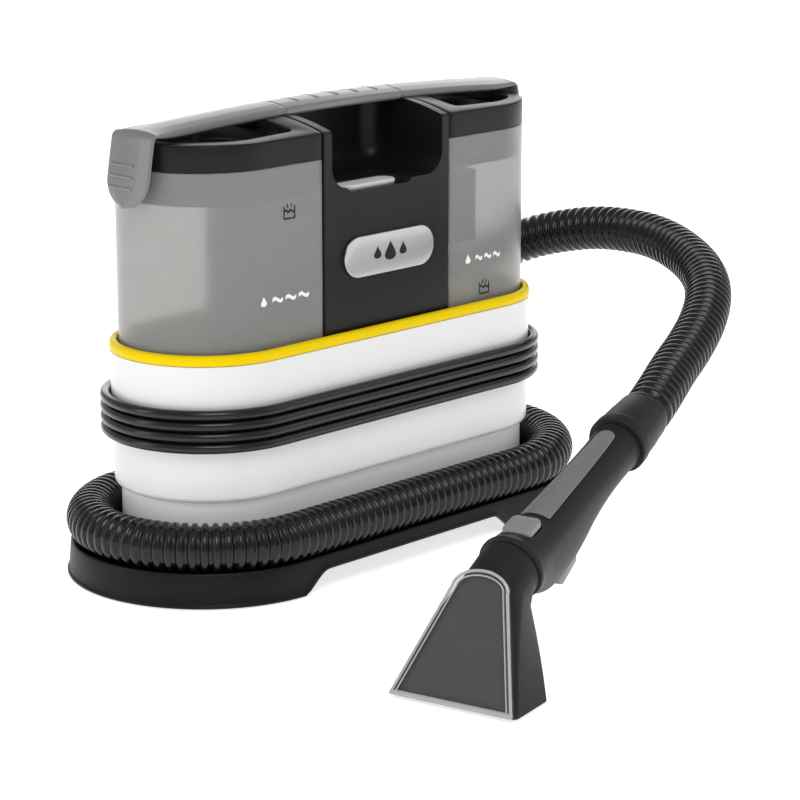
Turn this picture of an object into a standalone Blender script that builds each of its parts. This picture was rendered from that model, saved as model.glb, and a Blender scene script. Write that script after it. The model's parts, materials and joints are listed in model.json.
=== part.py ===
"""Compact two-tank spot extractor, standing on its hose tray.

Run with: blender --background --python part.py

Lengths are millimetres until a mesh is made, then metres. +X runs along the body towards the
dirt-water tank, -Y is the front with the badge, +Z is up. The origin is on the floor under the
middle of the body, on the flat pad of the bottom cover.
"""
import math

import bmesh
import bpy
from mathutils import Matrix, Vector

MM = 0.001
GAP = 0.4            # clearance between pieces that touch
ARC = 12             # segments in a half turn of a body outline
TINY = 0.01

# ---------------------------------------------------------------- driving dimensions
TRAY_LEN = 440.0          # overall length of the hose tray
TRAY_WID = 200.0
TRAY_DRAFT = 2.0          # how much the tray wall leans in towards its top
TRAY_WALL = 3.0
TRAY_FLOOR = 22.0         # top of the plate that the hose lies on
TRAY_LIP = 25.0
TRAY_CLEAR = 1.0          # the wall hangs this far above the floor
ARCH_LEFT = (-129.0, -101.0)      # the wall lifts off the floor between these x values
ARCH_RIGHT = (69.0, 97.0)
ARCH_HEIGHT = 15.5

HOUSING_HALF = (187.5, 67.9)      # half length and half width at the rim
HOUSING_FOOT = (185.7, 67.5)      # the same at the lower edge
HOUSING_Z = (65.0, 161.0)
SKIRT_HALF = (181.0, 62.5)
RIM_TOP = 168.5
DECK_Z = (135.0, 138.0)

TANK_END = 181.4          # outer end of each tank from the middle
TANK_INNER = 64.4         # flat side next to the column
TANK_HALF = 60.25         # half width of tanks and column
TANK_WALL = 2.2
TANK_Z = (138.4, 291.4)
LID_Z = (291.8, 309.5)
LID_SKIRT = 268.0
LID_CROWN = 9.5           # how far the lids and column rise towards the middle
LID_RIM = 11.0
SEPARATOR_Z = (212.0, 264.0)

COLUMN_HALF = 63.7
RECESS_HALF = 56.0        # hand recess: half width, floor height, back wall, edge radius
RECESS_FLOOR = 268.5
RECESS_BACK = 10.0
RECESS_ROUND = 16.0
BUTTON_AT = (-8.5, -46.0)
BUTTON_HALF = (26.3, 8.2)
BUTTON_TOP = 268.3

BAR_FRONT = -18.6         # front and rear edges of the grey handle bar
BAR_REAR = 16.0
BAR_TOP = 326.0
BAR_BASE = 317.0
BAR_FALL_TOP = 7.5        # how far the bar's top and underside drop at the tank end
BAR_FALL_BASE = 6.6
BAR_END = 187.0
TAB_BOTTOM = 267.0
TAB_LEAN = 7.5            # the tab's lower end stands out this far from its upper end
TAB_HALF = 21.0
PIVOT_X = 68.5
PIVOT_Z = 320.5
KNUCKLE = 9.9             # radius of the lever's rounded inner end

CABLE_D = 7.4
CABLE_TURNS = 4
COIL_Z = (101.8, 132.2)
HOSE_D = 34.0
HOSE_Z = TRAY_FLOOR + GAP + HOSE_D / 2
HOSE_HALF = (203.5, 85.0)         # half length and half width of the hose's loop in the tray

WAND_AT = Vector((-146.0, -303.0, 70.6))   # centre of the front collar of the wand
WAND_TURN = math.radians(11.8)             # direction of the wand seen from above
WAND_SLOPE = math.radians(17.8)
HANDLE_LEN = 150.5
CUFF_X = (151.0, 190.0)
NOZZLE_FRONT = ((-89.0, -43.4), (-25.0, 16.0))     # side view of the nozzle: front line
NOZZLE_BACK = ((-49.0, -56.3), (-8.0, -20.5))      # and back line, from mouth to neck
NOZZLE_HALF = (44.7, 20.5)

MATERIALS = {
    # name: base colour, roughness, metallic
    "black_plastic": ((0.030, 0.030, 0.032), 0.45, 0.0),
    "gloss_black": ((0.015, 0.015, 0.016), 0.20, 0.0),
    "white_gloss": ((0.80, 0.80, 0.79), 0.20, 0.0),
    "off_white": ((0.66, 0.66, 0.64), 0.35, 0.0),
    "yellow_plastic": ((0.85, 0.66, 0.01), 0.30, 0.0),
    "grey_grip": ((0.28, 0.28, 0.29), 0.55, 0.0),
    "smoke_clear": ((0.35, 0.35, 0.36), 0.10, 0.0),
    "clear_plastic": ((0.75, 0.76, 0.77), 0.08, 0.0),
    "hose_black": ((0.020, 0.020, 0.021), 0.35, 0.0),
    "cable_black": ((0.018, 0.018, 0.019), 0.30, 0.0),
    "brushed_metal": ((0.55, 0.55, 0.56), 0.35, 1.0),
    "steel": ((0.60, 0.60, 0.62), 0.30, 1.0),
    "rubber": ((0.040, 0.040, 0.040), 0.80, 0.0),
    "board_green": ((0.03, 0.16, 0.06), 0.50, 0.0),
    "motor_metal": ((0.45, 0.46, 0.48), 0.40, 1.0),
}


# ---------------------------------------------------------------- shared tools
def clear_scene():
    for obj in list(bpy.data.objects):
        bpy.data.objects.remove(obj, do_unlink=True)


def material(name):
    made = bpy.data.materials.get(name)
    if made is None:
        colour, rough, metal = MATERIALS[name]
        made = bpy.data.materials.new(name)
        made.use_nodes = True
        shader = made.node_tree.nodes["Principled BSDF"]
        shader.inputs["Base Color"].default_value = (*colour, 1.0)
        shader.inputs["Roughness"].default_value = rough
        shader.inputs["Metallic"].default_value = metal
    return made


def add_mesh(name, verts, faces, look, origin=(0, 0, 0), frame=None):
    """An object from points in millimetres. origin is where its own origin goes; frame is a
    Matrix in millimetres for pieces that are drawn in the wand's own axes."""
    home = Vector(origin)
    mesh = bpy.data.meshes.new(name)
    mesh.from_pydata([(Vector(v) - home) * MM for v in verts], [], faces)
    edit = bmesh.new()
    edit.from_mesh(mesh)
    bmesh.ops.recalc_face_normals(edit, faces=edit.faces)
    edit.to_mesh(mesh)
    edit.free()
    mesh.shade_smooth()
    mesh.set_sharp_from_angle(angle=math.radians(35))
    obj = bpy.data.objects.new(name, mesh)
    bpy.context.scene.collection.objects.link(obj)
    obj.data.materials.append(material(look))
    if frame is None:
        obj.location = home * MM
    else:
        turned = frame.to_3x3().to_4x4()
        place = frame @ home
        obj.matrix_world = Matrix.Translation(place * MM) @ turned
    return obj


def loft(name, rings, look, closed=False, **kw):
    """Skin a list of rings with the same number of points. closed joins the last ring to the
    first, as in a tube with a wall; otherwise both ends are capped."""
    count = len(rings[0])
    verts = [p for ring in rings for p in ring]
    faces = []
    last = len(rings) if closed else len(rings) - 1
    for i in range(last):
        a = i * count
        b = ((i + 1) % len(rings)) * count
        for j in range(count):
            k = (j + 1) % count
            faces.append((a + j, a + k, b + k, b + j))
    if not closed:
        faces.append(tuple(range(count))[::-1])
        faces.append(tuple(range((len(rings) - 1) * count, len(rings) * count)))
    return add_mesh(name, verts, faces, look, **kw)


def height(z, x, y):
    return z(x, y) if callable(z) else z


def rounded(half_x, half_y, radius, z, centre=(0.0, 0.0), steps=ARC // 2):
    """Rounded rectangle seen from above, counter-clockwise. z may be a function of x and y."""
    ring = []
    for k, (sx, sy) in enumerate(((1, 1), (-1, 1), (-1, -1), (1, -1))):
        for i in range(steps + 1):
            turn = math.pi / 2 * (k + i / steps)
            x = centre[0] + sx * (half_x - radius) + radius * math.cos(turn)
            y = centre[1] + sy * (half_y - radius) + radius * math.sin(turn)
            ring.append((x, y, height(z, x, y)))
    return ring


def stadium(half, z, inset=0.0):
    """Round-ended outline of the body; the ends are full half circles."""
    long, wide = half[0] - inset, half[1] - inset
    return rounded(long, wide, wide - TINY, z)


def tank_ring(side, z, inset=0.0, corner=3.0, steps=ARC):
    """D-shaped outline of a tank: flat side by the column, half circle at the outer end."""
    radius = TANK_HALF - inset
    centre = TANK_END - TANK_HALF
    near = TANK_INNER + inset
    bend = max(corner - inset, 0.6)
    flat = []
    for i in range(steps + 1):
        turn = -math.pi / 2 + math.pi * i / steps
        flat.append((centre + radius * math.cos(turn), radius * math.sin(turn)))
    for k in (0, 1):
        sy = 1 - 2 * k
        for i in range(4):
            turn = math.pi / 2 * (1 + k) + math.pi / 2 * i / 3
            flat.append((near + bend + bend * math.cos(turn),
                         sy * (radius - bend) + bend * math.sin(turn)))
    ring = [(side * x, y, height(z, side * x, y)) for x, y in flat]
    return ring if side > 0 else ring[::-1]


def circle(radius, z, centre=(0.0, 0.0), steps=24):
    return [(centre[0] + radius * math.cos(2 * math.pi * i / steps),
             centre[1] + radius * math.sin(2 * math.pi * i / steps), z) for i in range(steps)]


def turned(name, profile, look, centre=(0.0, 0.0), steps=24, closed=False, **kw):
    """A round piece about a vertical axis from (radius, z) pairs."""
    rings = [circle(r, z, centre, steps) for r, z in profile]
    return loft(name, rings, look, closed=closed, **kw)


def box_points(low, high):
    (x0, y0, z0), (x1, y1, z1) = low, high
    return [[(x0, y0, z), (x1, y0, z), (x1, y1, z), (x0, y1, z)] for z in (z0, z1)]


def block(name, low, high, look, **kw):
    return loft(name, box_points(low, high), look, **kw)


def sweep_rings(path, radii, sides):
    """Rings square to a path, with a frame carried along it so that they don't twist."""
    points = [Vector(p) for p in path]
    rings = []
    side = None
    for i, here in enumerate(points):
        ahead = points[min(i + 1, len(points) - 1)] - points[max(i - 1, 0)]
        ahead.normalize()
        if side is None:
            side = ahead.orthogonal().normalized()
        side = (side - ahead * side.dot(ahead)).normalized()
        up = ahead.cross(side)
        radius = radii[i] if isinstance(radii, (list, tuple)) else radii
        rings.append([here + (side * math.cos(2 * math.pi * j / sides)
                              + up * math.sin(2 * math.pi * j / sides)) * radius
                      for j in range(sides)])
    return rings


def pipe(name, path, outer, inner, look, sides=14, **kw):
    """A hollow pipe along a path."""
    out = sweep_rings(path, outer, sides)
    bore = sweep_rings(path, inner, sides)
    return loft(name, out + bore[::-1], look, closed=True, **kw)


def combine(obj, tool, kind="DIFFERENCE"):
    """Cut a hidden tool out of a piece, or join it on."""
    tool.hide_render = True
    tool.display_type = "WIRE"
    step = obj.modifiers.new(kind.lower(), "BOOLEAN")
    step.operation = kind
    step.object = tool
    step.solver = "EXACT"
    return obj


def cord_curve(name, path, diameter, look, resolution=2):
    """A solid cord along a route."""
    curve = bpy.data.curves.new(name, "CURVE")
    curve.dimensions = "3D"
    curve.bevel_depth = diameter / 2 * MM
    curve.bevel_resolution = resolution
    curve.use_fill_caps = True
    line = curve.splines.new("POLY")
    line.points.add(len(path) - 1)
    for point, place in zip(line.points, path):
        point.co = (*(Vector(place) * MM), 1.0)
    obj = bpy.data.objects.new(name, curve)
    bpy.context.scene.collection.objects.link(obj)
    obj.data.materials.append(material(look))
    return obj


def smooth_route(points, spacing):
    """Points at an even spacing along a Catmull-Rom curve through a route."""
    pts = [Vector(p) for p in points]
    pts = [pts[0] * 2 - pts[1]] + pts + [pts[-1] * 2 - pts[-2]]
    fine = []
    for i in range(1, len(pts) - 2):
        p0, p1, p2, p3 = pts[i - 1:i + 3]
        for k in range(24):
            t = k / 24
            fine.append(0.5 * ((2 * p1) + (p2 - p0) * t + (2 * p0 - 5 * p1 + 4 * p2 - p3) * t * t
                               + (3 * p1 - p0 - 3 * p2 + p3) * t ** 3))
    fine.append(pts[-2])
    run = [0.0]
    for a, b in zip(fine, fine[1:]):
        run.append(run[-1] + (b - a).length)
    count = max(2, round(run[-1] / spacing))
    result = []
    j = 0
    for i in range(count + 1):
        want = run[-1] * i / count
        while j < len(run) - 2 and run[j + 1] < want:
            j += 1
        span = run[j + 1] - run[j]
        result.append(fine[j].lerp(fine[j + 1], (want - run[j]) / span))
    return result


# ---------------------------------------------------------------- base
def arch_tool(name, reach):
    """Prism that lifts the long walls of the tray off the floor, with S-shaped ends."""
    steps = 6
    outline = [(ARCH_RIGHT[1], -5.0)]
    for i in range(steps + 1):
        t = i / steps
        x = ARCH_RIGHT[1] + (ARCH_RIGHT[0] - ARCH_RIGHT[1]) * t
        outline.append((x, ARCH_HEIGHT * (0.5 - 0.5 * math.cos(math.pi * t))))
    for i in range(steps + 1):
        t = i / steps
        x = ARCH_LEFT[1] + (ARCH_LEFT[0] - ARCH_LEFT[1]) * t
        outline.append((x, ARCH_HEIGHT * (0.5 + 0.5 * math.cos(math.pi * t))))
    outline.append((ARCH_LEFT[0], -5.0))
    rings = [[(x, y, z) for x, z in outline] for y in (-reach, reach)]
    return loft(name, rings, "black_plastic")


def make_base():
    foot = (TRAY_LEN / 2, TRAY_WID / 2)
    plate = 18.0
    inner = TRAY_DRAFT + TRAY_WALL
    tray = loft("base_tray", [
        stadium(foot, plate, inner + 1),
        stadium(foot, TRAY_CLEAR, TRAY_WALL),
        stadium(foot, TRAY_CLEAR),
        stadium(foot, TRAY_LIP, TRAY_DRAFT),
        stadium(foot, TRAY_LIP, inner),
        stadium(foot, TRAY_FLOOR, inner + 2),
    ], "black_plastic")
    combine(tray, arch_tool("arch_tool", foot[1] + 10))

    cover_top = plate - GAP
    cover_low = cover_top - 1.8
    loft("bottom_cover", [
        rounded(45, 30, 8, 0.0),
        rounded(46, 31, 8, cover_low),
        stadium(foot, cover_low, inner + 2),
        stadium(foot, cover_top, inner + 2),
    ], "black_plastic")
    for sx in (-1, 1):
        for sy in (-1, 1):
            name = f"foot_{'front' if sy < 0 else 'rear'}_{'left' if sx < 0 else 'right'}"
            at = (sx * 165.0, sy * 45.0)
            turned(name, [(10, 0.0), (11, 1.5), (11, 4.0), (7, 5.0), (7, cover_low - GAP)],
                   "rubber", centre=at, steps=16)

    loft("base_skirt", [
        stadium(SKIRT_HALF, TRAY_FLOOR + GAP),
        stadium(SKIRT_HALF, HOUSING_Z[0] - GAP),
        stadium(SKIRT_HALF, HOUSING_Z[0] - GAP, 2.5),
        stadium(SKIRT_HALF, TRAY_FLOOR + GAP, 2.5),
    ], "off_white", closed=True)


# ---------------------------------------------------------------- housing and column
def make_housing():
    low, high = HOUSING_Z
    loft("main_housing", [
        stadium(HOUSING_FOOT, low, 4.0),
        stadium(HOUSING_FOOT, low + 1.2, 1.2),
        stadium(HOUSING_FOOT, low + 4.0),
        stadium(HOUSING_HALF, high),
        stadium(HOUSING_HALF, high, 3.0),
        stadium(HOUSING_FOOT, low + 4.0, 3.0),
        stadium(HOUSING_FOOT, low + 2.5, 8.0),
        stadium(HOUSING_FOOT, low, 8.0),
    ], "white_gloss", closed=True)

    base = high + GAP
    loft("rim_trim", [
        stadium(HOUSING_HALF, base, 3.0),
        stadium(HOUSING_HALF, base),
        stadium(HOUSING_HALF, base + 4.0, -0.3),
        stadium(HOUSING_HALF, RIM_TOP - 0.8, 1.0),
        stadium(HOUSING_HALF, RIM_TOP, 2.8),
        stadium(HOUSING_HALF, RIM_TOP - 0.4, 4.6),
        stadium(HOUSING_HALF, RIM_TOP - 1.8, 5.4),
        stadium(HOUSING_HALF, high - 10.0, 5.4),
        stadium(HOUSING_HALF, high - 10.0, 3.6),
        stadium(HOUSING_HALF, base, 3.6),
    ], "yellow_plastic", closed=True)

    deck = loft("inner_frame", [
        stadium(HOUSING_HALF, DECK_Z[0], 3.8),
        stadium(HOUSING_HALF, DECK_Z[1], 3.8),
    ], "black_plastic")
    for i, (x, y) in enumerate(((-150, -34), (-150, 34), (150, -34), (150, 34))):
        leg = turned(f"leg_tool_{i}", [(5, TRAY_FLOOR + GAP), (5, DECK_Z[0] + 1)],
                     "black_plastic", centre=(x, y), steps=10)
        combine(deck, leg, "UNION")
    for i, (x, r) in enumerate(((0.0, 21.0), (-95.0, 10.0), (36.0, 13.0), (-36.0, 6.0))):
        hole = turned(f"deck_hole_{i}", [(r, 120.0), (r, 150.0)], "black_plastic",
                      centre=(x, 0.0), steps=16)
        combine(deck, hole)


def crown(x, y):
    """Height of the lids' and column's top: an arch across, fading out to the tank ends."""
    across = max(0.0, 1 - (y / TANK_HALF) ** 2)
    along = min(1.0, max(0.0, (TANK_END - abs(x)) / (TANK_END - TANK_INNER)))
    return LID_Z[1] + LID_CROWN * across * along


def top_strip(side_x, low, half_y, count=10):
    """Outline across the column's top at one x: down the front, over the crown, down the back."""
    edge = [(side_x, -half_y, low)]
    for i in range(count + 1):
        y = -half_y + 2 * half_y * i / count
        edge.append((side_x, y, crown(side_x, y)))
    edge.append((side_x, half_y, low))
    return edge


def bevelled_box(name, low, high, radius, steps=4):
    """A box with rounded edges, used as a cutting tool."""
    obj = block(name, low, high, "black_plastic")
    edges = obj.modifiers.new("round", "BEVEL")
    edges.width = radius * MM
    edges.segments = steps
    return obj


def pivot_tool(name, side, radius, front, back, steps=20):
    """Round bar along Y about a lever's pivot."""
    rings = []
    for y in (front, back):
        rings.append([(side * PIVOT_X + radius * math.cos(2 * math.pi * i / steps), y,
                       PIVOT_Z + radius * math.sin(2 * math.pi * i / steps))
                      for i in range(steps)])
    return loft(name, rings, "black_plastic")


def make_column():
    low = TANK_Z[0]
    rings = [top_strip(x, low, TANK_HALF) for x in (-COLUMN_HALF, COLUMN_HALF)]
    column = loft("column_shell", rings, "black_plastic")
    cavity = block("column_cavity", (-61.2, -57.7, low - 5), (61.2, 57.7, 250.0), "black_plastic")
    combine(column, cavity)
    recess = bevelled_box("recess_tool", (-RECESS_HALF, -110, RECESS_FLOOR),
                          (RECESS_HALF, RECESS_BACK, 380), RECESS_ROUND)
    combine(column, recess)
    groove = block("column_groove", (-80, BAR_FRONT - 1, BAR_BASE - 4 * GAP),
                   (80, BAR_REAR + 1, 340), "black_plastic")
    combine(column, groove)
    for side in (-1, 1):
        tool = pivot_tool(f"column_pivot_{side + 1}", side, KNUCKLE + 0.7, BAR_FRONT - 1,
                          BAR_REAR + 1)
        combine(column, tool)
    dish_at = (BUTTON_AT[0], BUTTON_AT[1] - 4.0)
    dish = loft("button_dish", [
        rounded(33.0 - inset, 14.5 - inset, 13.5 - inset, RECESS_FLOOR + z, dish_at)
        for inset, z in ((3.5, -3.4), (0.0, 0.6), (0.0, 20.0))], "black_plastic")
    combine(column, dish)
    well = loft("button_well", [
        rounded(BUTTON_HALF[0] + 0.6, BUTTON_HALF[1] + 0.6, BUTTON_HALF[1], z, BUTTON_AT)
        for z in (256.0, 290.0)], "black_plastic")
    combine(column, well)
    shaft = turned("stem_hole", [(4.5, 240.0), (4.5, 260.0)], "black_plastic",
                   centre=BUTTON_AT, steps=12)
    combine(column, shaft)

    port = []
    for x in (55.0, 70.0):
        port.append([(x, 11 * math.cos(2 * math.pi * i / 16), 235 + 11 * math.sin(2 * math.pi * i / 16))
                     for i in range(16)])
    combine(column, loft("column_port", port, "black_plastic"))

    home = (*BUTTON_AT, BUTTON_TOP)
    cap = loft("power_button", [
        rounded(BUTTON_HALF[0], BUTTON_HALF[1], 8.0, 261.5, BUTTON_AT),
        rounded(BUTTON_HALF[0], BUTTON_HALF[1], 8.0, BUTTON_TOP - 1.5, BUTTON_AT),
        rounded(BUTTON_HALF[0] - 1.5, BUTTON_HALF[1] - 1.5, 6.5, BUTTON_TOP, BUTTON_AT),
    ], "grey_grip", origin=home)
    stem = turned("button_stem", [(3.5, 246.0), (3.5, 262.0)], "grey_grip",
                  centre=BUTTON_AT, steps=12, origin=home)
    combine(cap, stem, "UNION")
    block("power_switch", (BUTTON_AT[0] - 14, BUTTON_AT[1] - 8, 222.0),
          (BUTTON_AT[0] + 14, BUTTON_AT[1] + 8, 242.4), "black_plastic")

    badge_z = 218.8
    front = -TANK_HALF - GAP
    plate = []
    for y, inset in ((front, 0.0), (front - 1.6, 0.0), (front - 2.2, 0.8)):
        outline = rounded(45.5 - inset, 14.6 - inset, 14.5 - inset, 0.0, steps=5)
        plate.append([(x - 0.6, y, badge_z + z) for x, z, _ in outline])
    loft("badge_plate", plate, "brushed_metal")


# ---------------------------------------------------------------- handle bar
def bar_top(x):
    return BAR_TOP - BAR_FALL_TOP * (x / BAR_END) ** 2


def bar_base(x):
    return BAR_BASE - BAR_FALL_BASE * (x / BAR_END) ** 2


def bar_width(x):
    """Front and rear edge of the bar, which widens a little towards the tabs."""
    spread = max(0.0, (abs(x) - 90.0) / (BAR_END - 90.0)) ** 2
    return (BAR_FRONT - (TAB_HALF + BAR_FRONT) * spread,
            BAR_REAR + (TAB_HALF - BAR_REAR) * spread)


def bar_section(at, inward, front, rear, thick):
    """Crowned section of the bar. at is the middle of its upper side and inward points to its
    underside, both in the XZ plane."""
    crown_h = min(3.0, thick * 0.4)
    mid = (front + rear) / 2
    half = (rear - front) / 2
    shape = [(-1.0, 0.75), (-1.0, 0.30), (-0.93, 0.12), (-0.5, 0.03), (0.0, 0.0), (0.5, 0.03),
             (0.93, 0.14), (1.0, 0.34), (1.0, 0.75), (0.9, 1.0), (-0.9, 1.0)]
    points = []
    for across, depth in shape:
        drop = depth * thick + crown_h * across * across * (1 - depth)
        points.append((at[0] + inward[0] * drop, mid + half * across, at[1] + inward[1] * drop))
    return points


def lever_rings(side):
    """Stations from the rounded inner end, along the bar, over the corner and down the tab."""
    rings = []
    for x in (PIVOT_X - KNUCKLE - 1.5, 66, 78, 92, 110, 130, 150, 166, 176):
        front, rear = bar_width(x)
        rings.append(bar_section((side * x, bar_top(x)), (0, -1), front, rear,
                                 bar_top(x) - bar_base(x)))
    corner = 7.0
    top = bar_top(BAR_END)
    for turn in (25, 50, 75):
        a = math.radians(turn)
        at = (side * (BAR_END - corner + corner * math.sin(a)), top - corner * (1 - math.cos(a)))
        rings.append(bar_section(at, (-side * math.sin(a), -math.cos(a)),
                                 -TAB_HALF, TAB_HALF, 4.8))
    start = top - corner - 2.0
    round_end = 19.0

    def tab_x(z):
        return side * (BAR_END + TAB_LEAN * (start - z) / (start - TAB_BOTTOM))

    for z in (start, 297.0, TAB_BOTTOM + round_end):
        rings.append(bar_section((tab_x(z), z), (-side, 0), -TAB_HALF, TAB_HALF, 4.6))
    for turn in (25, 50, 70, 84):
        a = math.radians(turn)
        half = TAB_HALF * math.cos(a)
        z = TAB_BOTTOM + round_end * (1 - math.sin(a))
        rings.append(bar_section((tab_x(z), z), (-side, 0), -half, half, 4.4))
    return rings


def make_bar():
    """The fixed grip over the hand recess."""
    reach = PIVOT_X
    rings = []
    for x in (-reach, -40, -20, 0, 20, 40, reach):
        front, rear = bar_width(x)
        rings.append(bar_section((x, bar_top(x)), (0, -1), front, rear,
                                 bar_top(x) - bar_base(x)))
    grip = loft("centre_grip", rings, "grey_grip")
    for side in (-1, 1):
        combine(grip, pivot_tool(f"grip_end_{side + 1}", side, KNUCKLE + 0.5, -60, 60, 28))
        inner, outer = sorted((side * (PIVOT_X - KNUCKLE - 0.5), side * (PIVOT_X + 5)))
        combine(grip, block(f"grip_way_{side + 1}", (inner, -60, PIVOT_Z), (outer, 60, 340),
                            "grey_grip"))


# ---------------------------------------------------------------- tanks
def make_tank(side, label):
    """One lift-out tank with its lid, seal, lever and lever pin."""
    home = (side * 122.0, 0.0, TANK_Z[0])
    low, high = TANK_Z
    loft(f"{label}_tank_shell", [
        tank_ring(side, low + 2.6, TANK_WALL + 1.2),
        tank_ring(side, low + 4.5, TANK_WALL),
        tank_ring(side, high, TANK_WALL),
        tank_ring(side, high),
        tank_ring(side, low + 2.0),
        tank_ring(side, low, 2.0),
    ][::-1], "smoke_clear", origin=home)

    skirt = TANK_WALL + 2.8
    lid_home = (side * 122.0, 0.0, LID_Z[0])
    lid = loft(f"{label}_lid", [
        tank_ring(side, LID_SKIRT, skirt),
        tank_ring(side, LID_Z[0], skirt),
        tank_ring(side, LID_Z[0]),
        tank_ring(side, lambda x, y: crown(x, y) - 0.8),
        tank_ring(side, crown, 0.8),
        tank_ring(side, crown, LID_RIM),
        tank_ring(side, LID_SKIRT + 8.0, LID_RIM + 1),
    ], "black_plastic", origin=lid_home)
    groove = block(f"{label}_groove", (side * 60 if side > 0 else -90, BAR_FRONT - 1,
                                       BAR_BASE - 4 * GAP),
                   (90 if side > 0 else -60, BAR_REAR + 1, 340), "black_plastic")
    combine(lid, groove)
    combine(lid, pivot_tool(f"{label}_pocket", side, KNUCKLE + 0.7, BAR_FRONT - 1, BAR_REAR + 1))
    ear = []
    for y in (-3.5, 3.5):
        outline = [(3.2, -18.0), (3.2, 0.0), (2.26, 2.26), (0.0, 3.2), (-2.26, 2.26),
                   (-3.2, 0.0), (-3.2, -18.0)]
        ear.append([(side * PIVOT_X + px, y, PIVOT_Z + pz) for px, pz in outline])
    combine(lid, loft(f"{label}_ear", ear, "black_plastic"), "UNION")
    combine(lid, pivot_tool(f"{label}_ear_bore", side, 1.9, -6, 6, 12))

    loft(f"{label}_lid_seal", [
        tank_ring(side, 273.0, TANK_WALL + 0.3), tank_ring(side, 277.0, TANK_WALL + 0.3),
        tank_ring(side, 277.0, skirt - 0.3), tank_ring(side, 273.0, skirt - 0.3),
    ], "rubber", closed=True, origin=lid_home)

    pivot = (side * PIVOT_X, 0.0, PIVOT_Z)
    lever = loft(f"{label}_lever", lever_rings(side), "grey_grip", origin=pivot)
    keep = [[(px, y, pz) for px, pz in knuckle_outline(side)] for y in (-60.0, 60.0)]
    combine(lever, loft(f"{label}_lever_keep", keep, "grey_grip"), "INTERSECT")
    slot = block(f"{label}_lever_slot", (side * PIVOT_X - 10.4, -4.3, 300),
                 (side * PIVOT_X + 10.4, 4.3, PIVOT_Z + 3.8), "grey_grip")
    combine(lever, slot)
    combine(lever, pivot_tool(f"{label}_lever_bore", side, 1.9, -13, 13, 12))
    rings = []
    for y in (-12.0, 12.0):
        rings.append([(side * PIVOT_X + 1.5 * math.cos(2 * math.pi * i / 12), y,
                       PIVOT_Z + 1.5 * math.sin(2 * math.pi * i / 12)) for i in range(12)])
    loft(f"{label}_lever_pin", rings, "steel", origin=pivot)


def knuckle_outline(side):
    """Side view of the space a lever may fill: round about its pivot, open outwards."""
    outline = []
    for i in range(15):
        turn = math.radians(-90 + 180 * i / 14)
        outline.append((side * (PIVOT_X - KNUCKLE * math.cos(turn)),
                        PIVOT_Z + KNUCKLE * math.sin(turn)))
    return outline + [(side * 210, PIVOT_Z + KNUCKLE), (side * 210, 250.0),
                      (side * (PIVOT_X + 2), 250.0)]


def make_fresh_details():
    """Sprung drain valve in the floor of the fresh-water tank."""
    tank = bpy.data.objects["fresh_tank_shell"]
    hole = turned("fresh_hole", [(7.5, 130.0), (7.5, 150.0)], "smoke_clear", centre=(-95, 0),
                  steps=16, origin=(-122, 0, TANK_Z[0]))
    combine(tank, hole)
    low = TANK_Z[0] + 0.2
    turned("fresh_valve_seat", [(7.1, low), (7.1, 143.4), (9.0, 143.4), (9.0, 150.0), (4.2, 150.0),
                                (4.2, low)],
           "black_plastic", centre=(-95, 0), steps=16, closed=True)
    turned("fresh_valve_stem", [(2.8, low + 0.6), (2.8, 150.4), (6.5, 150.4), (6.5, 153.0),
                                (2.0, 156.0)],
           "rubber", centre=(-95, 0), steps=12, origin=(-95, 0, 150.4))


def make_dirt_details():
    """Separator duct with its inlet, and the float that shuts off suction when the tank fills."""
    tank = bpy.data.objects["dirt_tank_shell"]
    centre = (86.0, 0.0)
    low, high = SEPARATOR_Z
    separator = loft("dirt_separator", [
        rounded(17.0, 53.0, 5.0, low, centre, 3), rounded(17.0, 53.0, 5.0, high, centre, 3),
        rounded(15.2, 51.2, 3.4, high, centre, 3), rounded(15.2, 51.2, 3.4, low, centre, 3),
    ], "smoke_clear", closed=True)
    rings = []
    for x in (60.0, 75.0):
        rings.append([(x, 11 * math.cos(2 * math.pi * i / 16), 235 + 11 * math.sin(2 * math.pi * i / 16))
                      for i in range(16)])
    inlet = loft("dirt_inlet_tool", rings, "smoke_clear")
    combine(tank, inlet)
    combine(separator, inlet)
    turned("float_guide", [(6, 143.3), (6, 145.3), (2.5, 145.3), (2.5, 266.0)], "black_plastic",
           centre=(135, 0), steps=12)
    turned("dirt_float", [(3.1, 146.0), (13.0, 146.0), (14.0, 148.0), (14.0, 164.0), (12.0, 167.0),
                          (3.1, 167.0)],
           "off_white", centre=(135, 0), steps=18, closed=True, origin=(135, 0, 146))


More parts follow.
